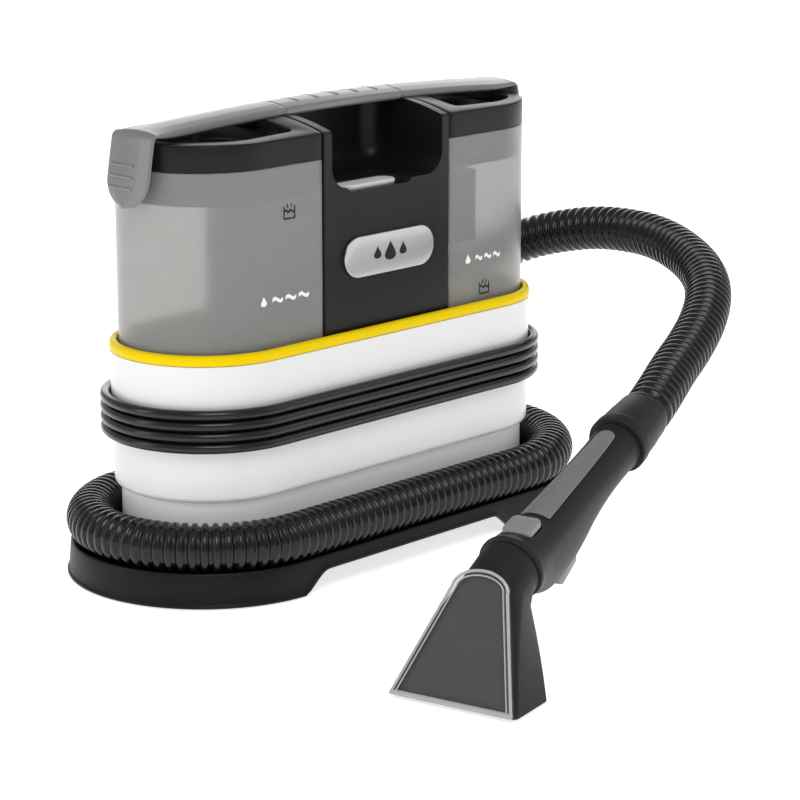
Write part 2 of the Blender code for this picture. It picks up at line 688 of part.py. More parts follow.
# ---------------------------------------------------------------- inside the housing
def make_machinery():
    """Suction motor with its fan, water pump, control board and the ducts between them."""
    at = (0.0, 0.0)
    turned("motor_can", [(30, 24.0), (32, 26.0), (32, 98.0), (9, 98.0), (9, 95.5), (29.5, 95.5),
                         (29.5, 40.0), (5.5, 40.0), (5.5, 24.0)],
           "motor_metal", centre=at, steps=24, closed=True)
    turned("fan_housing", [(5.5, 98.6), (50, 98.6), (52, 101.0), (52, 131.0), (19, 131.0),
                           (19, 128.8), (49.5, 128.8), (49.5, 101.4), (5.5, 101.4)],
           "black_plastic", centre=at, steps=28, closed=True)
    turned("motor_rotor", [(4.6, 30.0), (4.6, 45.0), (24, 46.0), (24, 90.0), (4.6, 91.0),
                           (4.6, 118.0)], "steel", centre=at, steps=20, origin=(0, 0, 70))
    turned("fan_impeller", [(5.2, 104.0), (44, 104.0), (44, 106.0), (22, 118.0), (14, 124.0),
                            (5.2, 124.0)], "motor_metal", centre=at, steps=24, closed=True,
           origin=(0, 0, 110))
    pump = block("pump_body", (78, -17, 34), (128, 17, 68), "black_plastic")
    bore = []
    for x in (70.0, 120.0):
        bore.append([(x, 8.5 * math.cos(2 * math.pi * i / 16), 51 + 8.5 * math.sin(2 * math.pi * i / 16))
                     for i in range(16)])
    combine(pump, loft("pump_bore", bore, "steel"))
    rod = []
    for x, r in ((76.0, 8.0), (106.0, 8.0), (107.0, 4.0), (114.0, 4.0)):
        rod.append([(x, r * math.cos(2 * math.pi * i / 16), 51 + r * math.sin(2 * math.pi * i / 16))
                    for i in range(16)])
    loft("pump_plunger", rod, "steel", origin=(76, 0, 51))
    block("circuit_board", (-128, -40, 60), (-126.2, 40, 118), "board_green")
    pipe("air_duct", [(0, 0, 133.2), (0, 0, 160), (1, 0, 180), (8, 0, 202), (22, 0, 222),
                      (40, 0, 233), (52, 0, 235), (60.4, 0, 235)], 14.0, 11.8, "black_plastic")
    pipe("water_line", [(-95, 0, 134.2), (-95, 0, 124), (-88, 0, 112), (-76, -20, 100),
                        (-58, -44, 78), (0, -50, 60), (60, -40, 52), (86, -30, 51), (99.5, -26, 51),
                        (100, -18.4, 51)], 3.4, 2.0, "rubber", sides=8)


# ---------------------------------------------------------------- hose and cable
def outlet_path():
    bend = 19.0
    path = [(-5.0, SKIRT_HALF[1] + GAP, HOSE_Z), (-5.0, SKIRT_HALF[1] + 3, HOSE_Z)]
    for i in range(1, 6):
        a = math.pi / 2 * i / 5
        path.append((-5 + bend * (1 - math.cos(a)), HOSE_HALF[1] - bend * (1 - math.sin(a)), HOSE_Z))
    path.append((34.0, HOSE_HALF[1], HOSE_Z))
    return path


HOSE_LOOP_START = 34.0 + GAP

# After its turn round the tray the hose climbs behind the body, passes its clip, swings round
# the dirt-water tank and comes down to the wand.
HOSE_REAR = [
    (-118.5, 85.0, HOSE_Z), (-78.0, 87.0, 46.0), (-36.0, 91.0, 62.0), (6.0, 96.0, 84.0),
    (50.0, 99.0, 106.0), (94.0, 100.0, 126.0), (138.0, 98.0, 141.0), (178.0, 89.0, 151.0),
    (215.0, 69.0, 162.0), (243.0, 43.0, 173.5), (258.5, 13.0, 185.5), (266.5, -30.0, 195.0),
    (267.5, -71.0, 197.0), (261.0, -102.0, 195.5), (249.0, -131.0, 191.5),
    (232.5, -158.0, 186.5), (214.0, -180.0, 180.5), (191.0, -199.0, 173.5),
    (162.0, -216.0, 164.5), (129.0, -230.5, 155.0), (93.0, -244.0, 146.0), (65.0, -255.5, 139.0),
]
CLIP_AT = 6                                # which point of the route the clip holds


def hose_route():
    """Centre line of the hose from the outlet to the wand's cuff."""
    long, wide = HOSE_HALF
    mid = long - wide
    bulge = 5.0                            # the loop stands off a little at the right end
    route = [(HOSE_LOOP_START, wide, HOSE_Z), (80.0, wide, HOSE_Z)]
    for i in range(13):
        a = math.pi / 2 - math.pi * i / 12
        route.append((mid + (wide + bulge * math.cos(a)) * math.cos(a), wide * math.sin(a),
                      HOSE_Z + 0.5 * bulge * math.cos(a)))
    for x in (70.0, 20.0, -30.0, -75.0):
        route.append((x, -wide, HOSE_Z))
    for i in range(12):
        a = -math.pi / 2 - math.pi * i / 12
        route.append((-mid + wide * math.cos(a), wide * math.sin(a), HOSE_Z))
    frame = wand_frame()
    ends = [frame @ Vector((CUFF_X[1] + past, 0, 0)) for past in (12.0, GAP)]
    return smooth_route(route + HOSE_REAR + ends, 28.0)[:-1] + ends


def make_hose():
    pipe("hose_outlet", outlet_path(), 17.0, 13.0, "black_plastic", sides=16)
    cord_curve("suction_hose", hose_route(), HOSE_D, "hose_black", 4)

    here = Vector(HOSE_REAR[CLIP_AT])
    along = (Vector(HOSE_REAR[CLIP_AT + 1]) - Vector(HOSE_REAR[CLIP_AT - 1])).normalized()
    clip = pipe("hose_clip", [here - along * 7, here + along * 7], HOSE_D / 2 + 4.0,
                HOSE_D / 2 + 0.9, "black_plastic", sides=20)
    face = HOUSING_HALF[1] + GAP
    arm = block("clip_arm_tool", (here.x - 3, face, here.z + 17.6), (here.x + 3, here.y - 5, here.z + 20.6),
                "black_plastic")
    combine(clip, arm, "UNION")


def coil_ring(grow, z):
    half = ((HOUSING_HALF[0] + HOUSING_FOOT[0]) / 2, (HOUSING_HALF[1] + HOUSING_FOOT[1]) / 2)
    return stadium(half, z, -grow)


def make_cable():
    """Mains cable: out of its gland, four turns round the housing, then up to the plug."""
    low, high = COIL_Z
    inner, outer = 0.9, 0.9 + CABLE_D
    loft("cable_coil", [
        coil_ring(inner, low + 2), coil_ring(inner + 2, low), coil_ring(outer - 2, low),
        coil_ring(outer, low + 2), coil_ring(outer, high - 2), coil_ring(outer - 2, high),
        coil_ring(inner + 2, high), coil_ring(inner, high - 2),
    ][::-1], "cable_black", closed=True)

    wall = HOUSING_FOOT[1] + 0.3 + GAP
    run = wall + 5.2                       # the cable's distance from the middle behind the body
    z = 88.0
    gland = loft("cable_gland", sweep_rings([(-60, run, z), (-53, run, z), (-51, run, z), (-28, run, z)],
                                            [5.6, 5.6, 5.1, 4.5], 12), "rubber")
    root = block("gland_root_tool", (-64, wall, z - 6.5), (-54, run + 2, z + 6.5), "rubber")
    combine(gland, root, "UNION")
    hole = sweep_rings([(-58, run, z), (-20, run, z)], 3.95, 12)
    combine(gland, loft("gland_bore_tool", hole, "rubber"))
    cord_curve("cable_lead", smooth_route([(-27.6, run, z), (-14, run, z + 0.4), (2, run, z + 3.4),
                                           (16, run, z + 8.2), (22, run, z + 9.2)], 7.0), CABLE_D, "cable_black")
    top = high + GAP + CABLE_D / 2
    rise = 13.7
    cord_curve("cable_tail", smooth_route([
        (-50, run, top), (-30, run, top + 0.8), (-8, run + 1.2, top + rise * 0.5),
        (14, run + 2.6, top + rise - 0.8), (33.6, run + 2.9, top + rise)], 7.0),
        CABLE_D, "cable_black")
    make_plug(run + 2.9, top + rise)


def make_plug(y, z):
    """Two-pin mains plug, parked in its clip on the housing."""
    body = []
    for x, w, h in ((34, 4.6, 4.6), (46, 5.0, 5.0), (50, 6.5, 9.0), (66, 6.5, 15.0), (72, 6.5, 15.0)):
        outline = rounded(w, h, min(w, h) * 0.8, 0.0, steps=3)
        body.append([(x, y + px, z + pz) for px, pz, _ in outline])
    plug = loft("mains_plug", body, "black_plastic")
    for i, dz in enumerate((-9.3, 9.3)):
        pin = loft(f"plug_pin_tool_{i}", sweep_rings([(70, y, z + dz), (90, y, z + dz)], 2.2, 10), "steel")
        combine(plug, pin, "UNION")
    face = HOUSING_HALF[1] + GAP
    clip = block("plug_clip", (54, face, z - 16.6), (62, face + 12.0, z + 16.6), "black_plastic")
    room = block("plug_clip_room", (50, face + 1.2, z - 14.6), (66, face + 20, z + 14.6), "black_plastic")
    combine(clip, room)


# ---------------------------------------------------------------- wand
def wand_frame():
    """Axes of the wand: x to the hose, z to the side with the button. Millimetres."""
    a = Vector((math.cos(WAND_SLOPE) * math.cos(WAND_TURN),
                math.cos(WAND_SLOPE) * math.sin(WAND_TURN), math.sin(WAND_SLOPE)))
    side = Vector((0, 0, 1)).cross(a).normalized()
    up = a.cross(side)
    matrix = Matrix((a, side, up)).transposed().to_4x4()
    return Matrix.Translation(WAND_AT) @ matrix


def egg(x, half, top, bottom, steps=20):
    """Section of the handle: elliptical, with its own depth above and below the axis."""
    ring = []
    for i in range(steps):
        turn = 2 * math.pi * i / steps
        tall = top if math.sin(turn) > 0 else bottom
        ring.append((x, half * math.cos(turn), tall * math.sin(turn)))
    return ring


def make_wand():
    frame = wand_frame()
    stations = ((0, 22.4, 22.4, 22.4), (3, 22.4, 22.4, 22.4), (9, 21.2, 20.2, 24.5),
                (20, 19.6, 18.4, 32.0), (32, 18.8, 17.6, 36.5), (52, 18.2, 16.9, 37.0),
                (72, 17.6, 16.4, 33.0), (92, 17.0, 15.8, 25.0), (114, 16.8, 15.4, 19.5),
                (136, 16.8, 15.6, 18.0), (HANDLE_LEN, 17.4, 17.0, 18.0))
    outer = [egg(*s) for s in stations]
    outer += [egg(x, 14.0, 14.0, 14.0) for x in (HANDLE_LEN, 178.0)]
    bore = [egg(x, 11.0, 11.0, 11.0) for x in (178.0, 90.0, 0.0)]
    handle = loft("wand_handle", outer + bore, "black_plastic", closed=True, frame=frame)
    tools = (("trigger_room", (41, -7.6, -60), (73.6, 7.6, -15)),
             ("valve_room", (66, -7.6, -24), (92, 7.6, -13.5)),
             ("release_room", (11.4, -10.9, 13.4), (30.6, 10.9, 40)))
    for name, low, high in tools:
        combine(handle, block(name, low, high, "black_plastic", frame=frame))
    inlay_tool = inlay("inlay_tool", frame, 0.35, 12.6, 30.0)
    combine(handle, inlay_tool)
    surface = loft("inlay_limit", [egg(x, h + 0.5, t + 0.6, b) for x, h, t, b in stations],
                   "grey_grip", frame=frame)
    pad = inlay("grip_inlay", frame, 0.0, 13.0, 30.0)
    combine(pad, surface, "INTERSECT")

    home = (44.0, 0.0, -19.0)
    loft("spray_trigger", [
        [(43, y, -39.0), (48, y, -42.5), (68, y, -37.5), (70.5, y, -33.0), (70.0, y, -20.5),
         (43, y, -17.6)] for y in (-6.9, 6.9)], "grey_grip", frame=frame, origin=home)
    block("water_valve", (73, -6.5, -23.2), (90, 6.5, -14.2), "off_white", frame=frame)
    loft("release_button", [
        [(x, y, z) for x, y, _ in rounded(9.2 - inset, 10.4 - inset, 4.0, 0, (21.0, 0.0), 3)]
        for z, inset in ((16.3, 0.0), (19.0, 0.0), (20.2, 1.2))], "grey_grip", frame=frame,
        origin=(21.0, 0.0, 16.3))

    cuff = [egg(x, r, r, r) for x, r in ((CUFF_X[0], 20.0), (CUFF_X[0] + 1, 20.7), (158, 20.7),
                                         (176, 18.9), (CUFF_X[1], 17.9))]
    cuff += [egg(x, 14.6, 14.6, 14.6) for x in (CUFF_X[1], CUFF_X[0])]
    loft("hose_cuff", cuff, "black_plastic", closed=True, frame=frame)
    make_nozzle(frame)


def inlay(name, frame, grow, low, high):
    """Tapering grip pad with a rounded rear end, as a prism that other steps trim."""
    x0, x1, front, rear = 38.0 - grow, 138.0, 10.4 + grow, 6.8 + grow
    outline = [(x0, -front), (x1, -rear)]
    for i in range(1, 6):
        turn = -math.pi / 2 + math.pi * i / 6
        outline.append((x1 + (5.0 + grow) * math.cos(turn), rear * math.sin(turn)))
    outline += [(x1, rear), (x0, front)]
    return loft(name, [[(x, y, z) for x, y in outline] for z in (low, high)], "grey_grip",
                frame=frame)


def nozzle_ring(t, inset, steps=5):
    """Section of the nozzle at t, from the mouth at 0 to the neck at 1."""
    front = Vector(NOZZLE_FRONT[0]).lerp(Vector(NOZZLE_FRONT[1]), t)
    back = Vector(NOZZLE_BACK[0]).lerp(Vector(NOZZLE_BACK[1]), t)
    across = (front - back).normalized()
    mid = (front + back) / 2
    half = NOZZLE_HALF[0] + (NOZZLE_HALF[1] - NOZZLE_HALF[0]) * t - inset
    deep = (front - back).length / 2 - inset
    radius = (4.0 + (min(half, deep) - 4.5) * t ** 3) if inset == 0 else min(half, deep) * 0.3
    ring = []
    for y, d, _ in rounded(half, deep, radius, 0.0, steps=steps):
        ring.append((mid.x + across.x * d, y, mid.y + across.y * d))
    return ring


def neck_ring(x, radius, count):
    """Round ring that lines up, point for point, with the nozzle's sections."""
    per = count // 4
    ring = []
    for k in range(4):
        for i in range(per):
            turn = math.pi / 2 * (k + i / (per - 1)) * 0.999
            ring.append((x, radius * math.cos(turn), radius * math.sin(turn)))
    return ring


def make_nozzle(frame):
    wall = 2.2
    steps = (0.0, 0.2, 0.4, 0.6, 0.8, 0.93)
    outer = [nozzle_ring(t, 0.0) for t in steps]
    count = len(outer[0])
    outer += [neck_ring(x, r, count) for x, r in ((-6.0, 20.5), (-0.6, 20.5), (-0.6, 10.4),
                                                  (14.0, 10.4))]
    inner = [neck_ring(x, r, count) for x, r in ((14.0, 8.6), (-8.0, 8.6))]
    inner += [nozzle_ring(t, wall) for t in (0.75, 0.4, 0.0)]
    home = (0.0, 0.0, 0.0)
    loft("nozzle_housing", outer + inner, "black_plastic", closed=True, frame=frame, origin=home)

    front = [Vector(p) for p in NOZZLE_FRONT]
    along = (front[1] - front[0]).normalized()
    out = Vector((-along.y, along.x))
    length = (front[1] - front[0]).length
    outline = [(0.0, 43.6), (length * 0.84, 20.4)]
    for i in range(1, 8):
        turn = math.pi * i / 8
        outline.append((length * 0.84 + 13.0 * math.sin(turn), 20.4 * math.cos(turn)))
    outline += [(length * 0.84, -20.4), (0.0, -43.6)]
    rings = []
    for lift in (GAP, 3.2):
        ring = []
        for s, y in outline:
            p = front[0] + along * s + out * lift
            ring.append((p.x, y, p.y))
        rings.append(ring)
    loft("nozzle_window", rings, "clear_plastic", frame=frame, origin=home)

    base = [Vector(p) for p in NOZZLE_BACK]
    run = (base[1] - base[0]).normalized()
    away = Vector((run.y, -run.x))
    foot = base[0] + run * 16.0
    rings = []
    for lift, r in ((GAP, 5.0), (5.0, 5.0), (8.0, 3.0)):
        ring = []
        for i in range(12):
            turn = 2 * math.pi * i / 12
            p = foot + run * (r * math.cos(turn)) + away * lift
            ring.append((p.x, r * math.sin(turn), p.y))
        rings.append(ring)
    loft("spray_tip", rings, "grey_grip", frame=frame, origin=home)


def main():
    clear_scene()
    make_base()
    make_housing()
    make_column()
    make_bar()
    for side, label in ((-1, "fresh"), (1, "dirt")):
        make_tank(side, label)
    make_fresh_details()
    make_dirt_details()
    make_machinery()
    make_hose()
    make_cable()
    make_wand()


main()
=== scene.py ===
"""Looks of the compact two-tank spot extractor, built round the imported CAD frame.

Meshes are drawn in millimetres and stored in metres. +X runs along the body towards the
dirt-water tank, -Y is the front with the badge, +Z is up.
"""
import json
import math

import bmesh
import bpy
from mathutils import Matrix, Vector


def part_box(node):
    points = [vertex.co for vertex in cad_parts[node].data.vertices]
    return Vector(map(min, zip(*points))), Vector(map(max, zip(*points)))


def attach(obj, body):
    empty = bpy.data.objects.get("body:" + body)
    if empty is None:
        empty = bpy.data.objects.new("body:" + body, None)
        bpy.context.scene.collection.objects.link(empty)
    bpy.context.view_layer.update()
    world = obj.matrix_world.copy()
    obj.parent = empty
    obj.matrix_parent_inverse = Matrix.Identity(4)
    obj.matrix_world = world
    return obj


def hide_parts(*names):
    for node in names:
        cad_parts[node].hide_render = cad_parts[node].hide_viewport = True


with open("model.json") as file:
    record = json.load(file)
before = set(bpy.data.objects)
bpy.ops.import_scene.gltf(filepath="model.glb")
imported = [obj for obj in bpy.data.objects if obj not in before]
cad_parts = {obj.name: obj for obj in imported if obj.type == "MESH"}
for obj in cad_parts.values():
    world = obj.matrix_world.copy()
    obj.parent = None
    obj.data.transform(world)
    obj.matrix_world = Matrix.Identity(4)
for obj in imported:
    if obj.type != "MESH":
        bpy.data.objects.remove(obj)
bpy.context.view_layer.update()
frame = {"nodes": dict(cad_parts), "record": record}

MM = 0.001
GAP = 0.4
RECORD = frame["record"]
BODY_OF = {node: body for body, nodes in RECORD["behaviour"]["bodies"].items() for node in nodes}
SLOT_OF = {part["node"]: part["material_slot"] for part in RECORD["subparts"]}


def span(node):
    """Lowest and highest corner of a CAD node in millimetres."""
    low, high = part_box(node)
    return Vector(low) / MM, Vector(high) / MM


# ---------------------------------------------------------------- sizes, from the frame
TRAY = (span("base_tray")[1].x, span("base_tray")[1].y)
TRAY_LOW, TRAY_LIP = span("base_tray")[0].z, span("base_tray")[1].z
TRAY_FLOOR = TRAY_LIP - 3.0
TRAY_LEAN = 2.0
ARCH_LEFT = (-129.0, -101.0)
ARCH_RIGHT = (69.0, 97.0)
ARCH_HEIGHT = 15.5

SKIRT = (span("base_skirt")[1].x, span("base_skirt")[1].y)
SKIRT_Z = (span("base_skirt")[0].z, span("base_skirt")[1].z)
HOUSING = (span("main_housing")[1].x, span("main_housing")[1].y)
HOUSING_Z = (span("main_housing")[0].z, span("main_housing")[1].z)
HOUSING_FOOT = (HOUSING[0] - 1.8, HOUSING[1] - 0.4)
RIM_TOP = span("rim_trim")[1].z

TANK_END = span("dirt_tank_shell")[1].x
TANK_INNER = span("dirt_tank_shell")[0].x
TANK_HALF = span("dirt_tank_shell")[1].y
TANK_Z = (span("dirt_tank_shell")[0].z, span("dirt_tank_shell")[1].z)
TANK_WALL = 2.2
PRINT = 0.12             # thickness of a printed sign
LID_LOW = TANK_Z[1] + GAP
LID_EDGE = LID_LOW + 17.7
LID_SKIRT = span("dirt_lid")[0].z
LID_CROWN = 9.5
LID_RIM = 11.0
POCKET_SHIFT = 6.0       # a lid's rim is this much wider beside the column
POCKET_ROUND = 5.0       # and its pocket's corners are this much rounder
POCKET_BLEND = (6.0, 4.0)  # inset where both begin, and how far in they are complete

COLUMN_X = span("column_shell")[1].x
PORT_RADIUS, PORT_Z = 11.0, 235.0
RECESS_HALF = 56.0
RECESS_FLOOR = 268.5
RECESS_BACK = 10.0
RECESS_ROUND = 16.0
BUTTON = ((span("power_button")[0] + span("power_button")[1]) / 2)
BUTTON_TOP = span("power_button")[1].z
BUTTON_HALF = (26.3, 8.2)
SCOOP_HALF = (33.5, 20.5)  # hollow round the button, which opens to the front
SCOOP_SHIFT = -10.0

BAR_FRONT, BAR_REAR = span("centre_grip")[0].y, span("centre_grip")[1].y
BAR_TOP = span("centre_grip")[1].z
BAR_BASE = BAR_TOP - 9.0
BAR_FALL_TOP, BAR_FALL_BASE = 7.5, 6.6
BAR_END = 187.0
TAB_LEAN = 7.5
TAB_HALF = span("dirt_lever")[1].y
TAB_BOTTOM = 267.0
PIVOT_X, PIVOT_Z = 68.5, 320.5
KNUCKLE = 9.9

CABLE_D = 7.4
CABLE_TURNS = 4
COIL_Z = (span("cable_coil")[0].z, span("cable_coil")[1].z)
HOSE_D = 34.0
HOSE_Z = TRAY_FLOOR + GAP + HOSE_D / 2
HOSE_HALF = (203.5, 85.0)

WAND_AT = Vector((-146.0, -303.0, 70.6))
WAND_TURN = math.radians(11.8)
WAND_SLOPE = math.radians(17.8)
HANDLE_LEN = 150.5
CUFF_X = (151.0, 190.0)
NOZZLE_FRONT = (Vector((-89.0, -43.4)), Vector((-25.0, 16.0)))
NOZZLE_BACK = (Vector((-49.0, -56.3)), Vector((-8.0, -20.5)))
NOZZLE_HALF = (44.7, 20.5)


# ---------------------------------------------------------------- mesh tools
def fillet(points, radius, steps=4):
    """A 2-D profile with its inner corners rounded. radius is one value or one per point."""
    if not isinstance(radius, (list, tuple)):
        radius = [radius] * len(points)
    made = []
    for i, (x, y) in enumerate(points):
        here = Vector((x, y))
        r = radius[i]
        if i in (0, len(points) - 1) or r <= 0:
            made.append((x, y))
            continue
        back = Vector(points[i - 1]) - here
        ahead = Vector(points[i + 1]) - here
        u, v = back.normalized(), ahead.normalized()
        angle = u.angle(v)
        if angle > math.pi - 0.02:
            made.append((x, y))
            continue
        reach = min(r / math.tan(angle / 2), 0.48 * back.length, 0.48 * ahead.length)
        r = reach * math.tan(angle / 2)
        centre = here + (u + v).normalized() * (r / math.sin(angle / 2))
        a, b = here + u * reach - centre, here + v * reach - centre
        sweep = a.angle(b)
        for k in range(steps + 1):
            t = k / steps
            p = centre + (a * math.sin((1 - t) * sweep) + b * math.sin(t * sweep)) / math.sin(sweep)
            made.append((p.x, p.y))
    return made


def height(z, x, y):
    return z(x, y) if callable(z) else z


def skin(rings, closed=False, caps=True):
    """Vertices and faces over rings that have the same number of points."""
    count = len(rings[0])
    verts = [tuple(p) for ring in rings for p in ring]
    faces = []
    last = len(rings) if closed else len(rings) - 1
    for i in range(last):
        a, b = i * count, ((i + 1) % len(rings)) * count
        for j in range(count):
            k = (j + 1) % count
            faces.append((a + j, a + k, b + k, b + j))
    if caps and not closed:
        faces.append(tuple(range(count))[::-1])
        faces.append(tuple(range((len(rings) - 1) * count, len(rings) * count)))
    return verts, faces


def make(name, parts, look, sharp=35.0, place=None):
    """An object from one or more (vertices, faces) pairs in millimetres."""
    verts, faces = [], []
    for some, their in parts:
        base = len(verts)
        verts += [(place @ Vector(p) if place else Vector(p)) * MM for p in some]
        faces += [tuple(base + i for i in face) for face in their]
    mesh = bpy.data.meshes.new(name)
    mesh.from_pydata(verts, [], faces)
    edit = bmesh.new()
    edit.from_mesh(mesh)
    bmesh.ops.remove_doubles(edit, verts=edit.verts, dist=1e-6)
    bmesh.ops.recalc_face_normals(edit, faces=edit.faces)
    edit.to_mesh(mesh)
    edit.free()
    mesh.shade_smooth()
    mesh.set_sharp_from_angle(angle=math.radians(sharp))
    obj = bpy.data.objects.new(name, mesh)
    bpy.context.scene.collection.objects.link(obj)
    if look is not None:
        mesh.materials.append(look)
    return obj


def apply_modifiers(obj, sharp=35.0):
    depsgraph = bpy.context.evaluated_depsgraph_get()
    mesh = bpy.data.meshes.new_from_object(obj.evaluated_get(depsgraph))
    obj.modifiers.clear()
    obj.data = mesh
    mesh.shade_smooth()
    mesh.set_sharp_from_angle(angle=math.radians(sharp))


def cut(obj, tools, kind="DIFFERENCE", bevel=0.0, sharp=35.0):
    """Boolean with each tool in turn, then soft edges."""
    for tool in tools:
        step = obj.modifiers.new("cut", "BOOLEAN")
        step.operation = kind
        step.solver = "EXACT"
        step.object = tool
    if bevel:
        soft = obj.modifiers.new("soft", "BEVEL")
        soft.width = bevel * MM
        soft.segments = 2
        soft.limit_method = "ANGLE"
        soft.angle_limit = math.radians(40)
        soft.miter_outer = "MITER_ARC"
    apply_modifiers(obj, sharp)
    for tool in tools:
        bpy.data.objects.remove(tool, do_unlink=True)


def box_part(low, high):
    (x0, y0, z0), (x1, y1, z1) = low, high
    return skin([[(x0, y0, z), (x1, y0, z), (x1, y1, z), (x0, y1, z)] for z in (z0, z1)])


def round_box(name, low, high, radius, steps=8):
    """A box with rounded edges, used to cut with."""
    obj = make(name, [box_part(low, high)], None)
    soft = obj.modifiers.new("round", "BEVEL")
    soft.width = radius * MM
    soft.segments = steps
    apply_modifiers(obj)
    return obj


def stand_for(obj, *nodes):
    """obj takes the place of CAD nodes, on their body."""
    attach(obj, BODY_OF[nodes[0]])
    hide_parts(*nodes)
    return obj


def go_with(obj, node):
    """obj is an extra piece that moves with a CAD node."""
    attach(obj, BODY_OF[node])
    return obj


# ---------------------------------------------------------------- outlines
def oval(half, inset=0.0, arc=72, straight=64):
    """Round-ended outline of the body, counter-clockwise from the front right."""
    long, wide = half[0] - inset, half[1] - inset
    mid = long - wide
    ring = []
    for side in (1, -1):
        for i in range(arc):
            turn = -math.pi / 2 + math.pi * i / arc
            ring.append((side * (mid + wide * math.cos(turn)), side * wide * math.sin(turn)))
        for i in range(straight):
            ring.append((side * (mid - 2 * mid * i / straight), side * wide))
    return ring


def rounded(half_x, half_y, radius, centre=(0.0, 0.0), steps=8):
    ring = []
    for k, (sx, sy) in enumerate(((1, 1), (-1, 1), (-1, -1), (1, -1))):
        for i in range(steps + 1):
            turn = math.pi / 2 * (k + i / steps)
            ring.append((centre[0] + sx * (half_x - radius) + radius * math.cos(turn),
                         centre[1] + sy * (half_y - radius) + radius * math.sin(turn)))
    return ring


def d_shape(side, inset=0.0, corner=3.0, arc=80, bend=6, run=14, flat=30):
    """Outline of a tank: flat side by the column and half circle at the outer end."""
    radius = TANK_HALF - inset
    centre = TANK_END - TANK_HALF
    pocket = min(1.0, max(0.0, (inset - POCKET_BLEND[0]) / POCKET_BLEND[1]))
    near = TANK_INNER + inset + POCKET_SHIFT * pocket
    turn_r = max(corner - inset, 0.8) + POCKET_ROUND * pocket
    ring = []
    for i in range(arc):
        turn = -math.pi / 2 + math.pi * i / arc
        ring.append((centre + radius * math.cos(turn), radius * math.sin(turn)))
    for i in range(run):
        ring.append((centre + (near + turn_r - centre) * i / run, radius))
    for i in range(bend):
        turn = math.pi / 2 + math.pi / 2 * i / bend
        ring.append((near + turn_r + turn_r * math.cos(turn), radius - turn_r + turn_r * math.sin(turn)))
    for i in range(flat):
        ring.append((near, (radius - turn_r) * (1 - 2 * i / flat)))
    for i in range(bend):
        turn = math.pi + math.pi / 2 * i / bend
        ring.append((near + turn_r + turn_r * math.cos(turn), -radius + turn_r + turn_r * math.sin(turn)))
    for i in range(run):
        ring.append((near + turn_r + (centre - near - turn_r) * i / run, -radius))
    return [(side * x, y) for x, y in ring]


def rings_of(outline, profile):
    """Rings from an outline that takes an inset and a profile of (inset, height) pairs."""
    rings = []
    for inset, z in profile:
        rings.append([(x, y, height(z, x, y)) for x, y in outline(inset)])
    return rings


def circle(radius, z, centre=(0.0, 0.0), steps=48):
    return [(centre[0] + radius * math.cos(2 * math.pi * i / steps),
             centre[1] + radius * math.sin(2 * math.pi * i / steps), z) for i in range(steps)]


def disc(x, radius, centre, steps):
    """Circle square to X, about a (y, z) centre."""
    return [(x, centre[0] + radius * math.cos(2 * math.pi * i / steps),
             centre[1] + radius * math.sin(2 * math.pi * i / steps)) for i in range(steps)]


def sweep(path, radii, sides):
    """Rings square to a path, with a frame carried along it."""
    points = [Vector(p) for p in path]
    rings = []
    side = None
    for i, here in enumerate(points):
        ahead = (points[min(i + 1, len(points) - 1)] - points[max(i - 1, 0)]).normalized()
        if side is None:
            side = ahead.orthogonal().normalized()
        side = (side - ahead * side.dot(ahead)).normalized()
        up = ahead.cross(side)
        radius = radii[i] if isinstance(radii, (list, tuple)) else radii
        rings.append([here + (side * math.cos(2 * math.pi * j / sides)
                              + up * math.sin(2 * math.pi * j / sides)) * radius
                      for j in range(sides)])
    return rings


def smooth_route(points, spacing):
    """Points at an even spacing along a Catmull-Rom curve through a route."""
    pts = [Vector(p) for p in points]
    pts = [pts[0] * 2 - pts[1]] + pts + [pts[-1] * 2 - pts[-2]]
    fine = []
    for i in range(1, len(pts) - 2):
        p0, p1, p2, p3 = pts[i - 1:i + 3]
        for k in range(24):
            t = k / 24
            fine.append(0.5 * ((2 * p1) + (p2 - p0) * t + (2 * p0 - 5 * p1 + 4 * p2 - p3) * t * t
                               + (3 * p1 - p0 - 3 * p2 + p3) * t ** 3))
    fine.append(pts[-2])
    run = [0.0]
    for a, b in zip(fine, fine[1:]):
        run.append(run[-1] + (b - a).length)
    count = max(2, round(run[-1] / spacing))
    result = []
    j = 0
    for i in range(count + 1):
        want = run[-1] * i / count
        while j < len(run) - 2 and run[j + 1] < want:
            j += 1
        part = run[j + 1] - run[j]
        result.append(fine[j].lerp(fine[j + 1], (want - run[j]) / part))
    return result


# ---------------------------------------------------------------- materials
LOOKS = {}


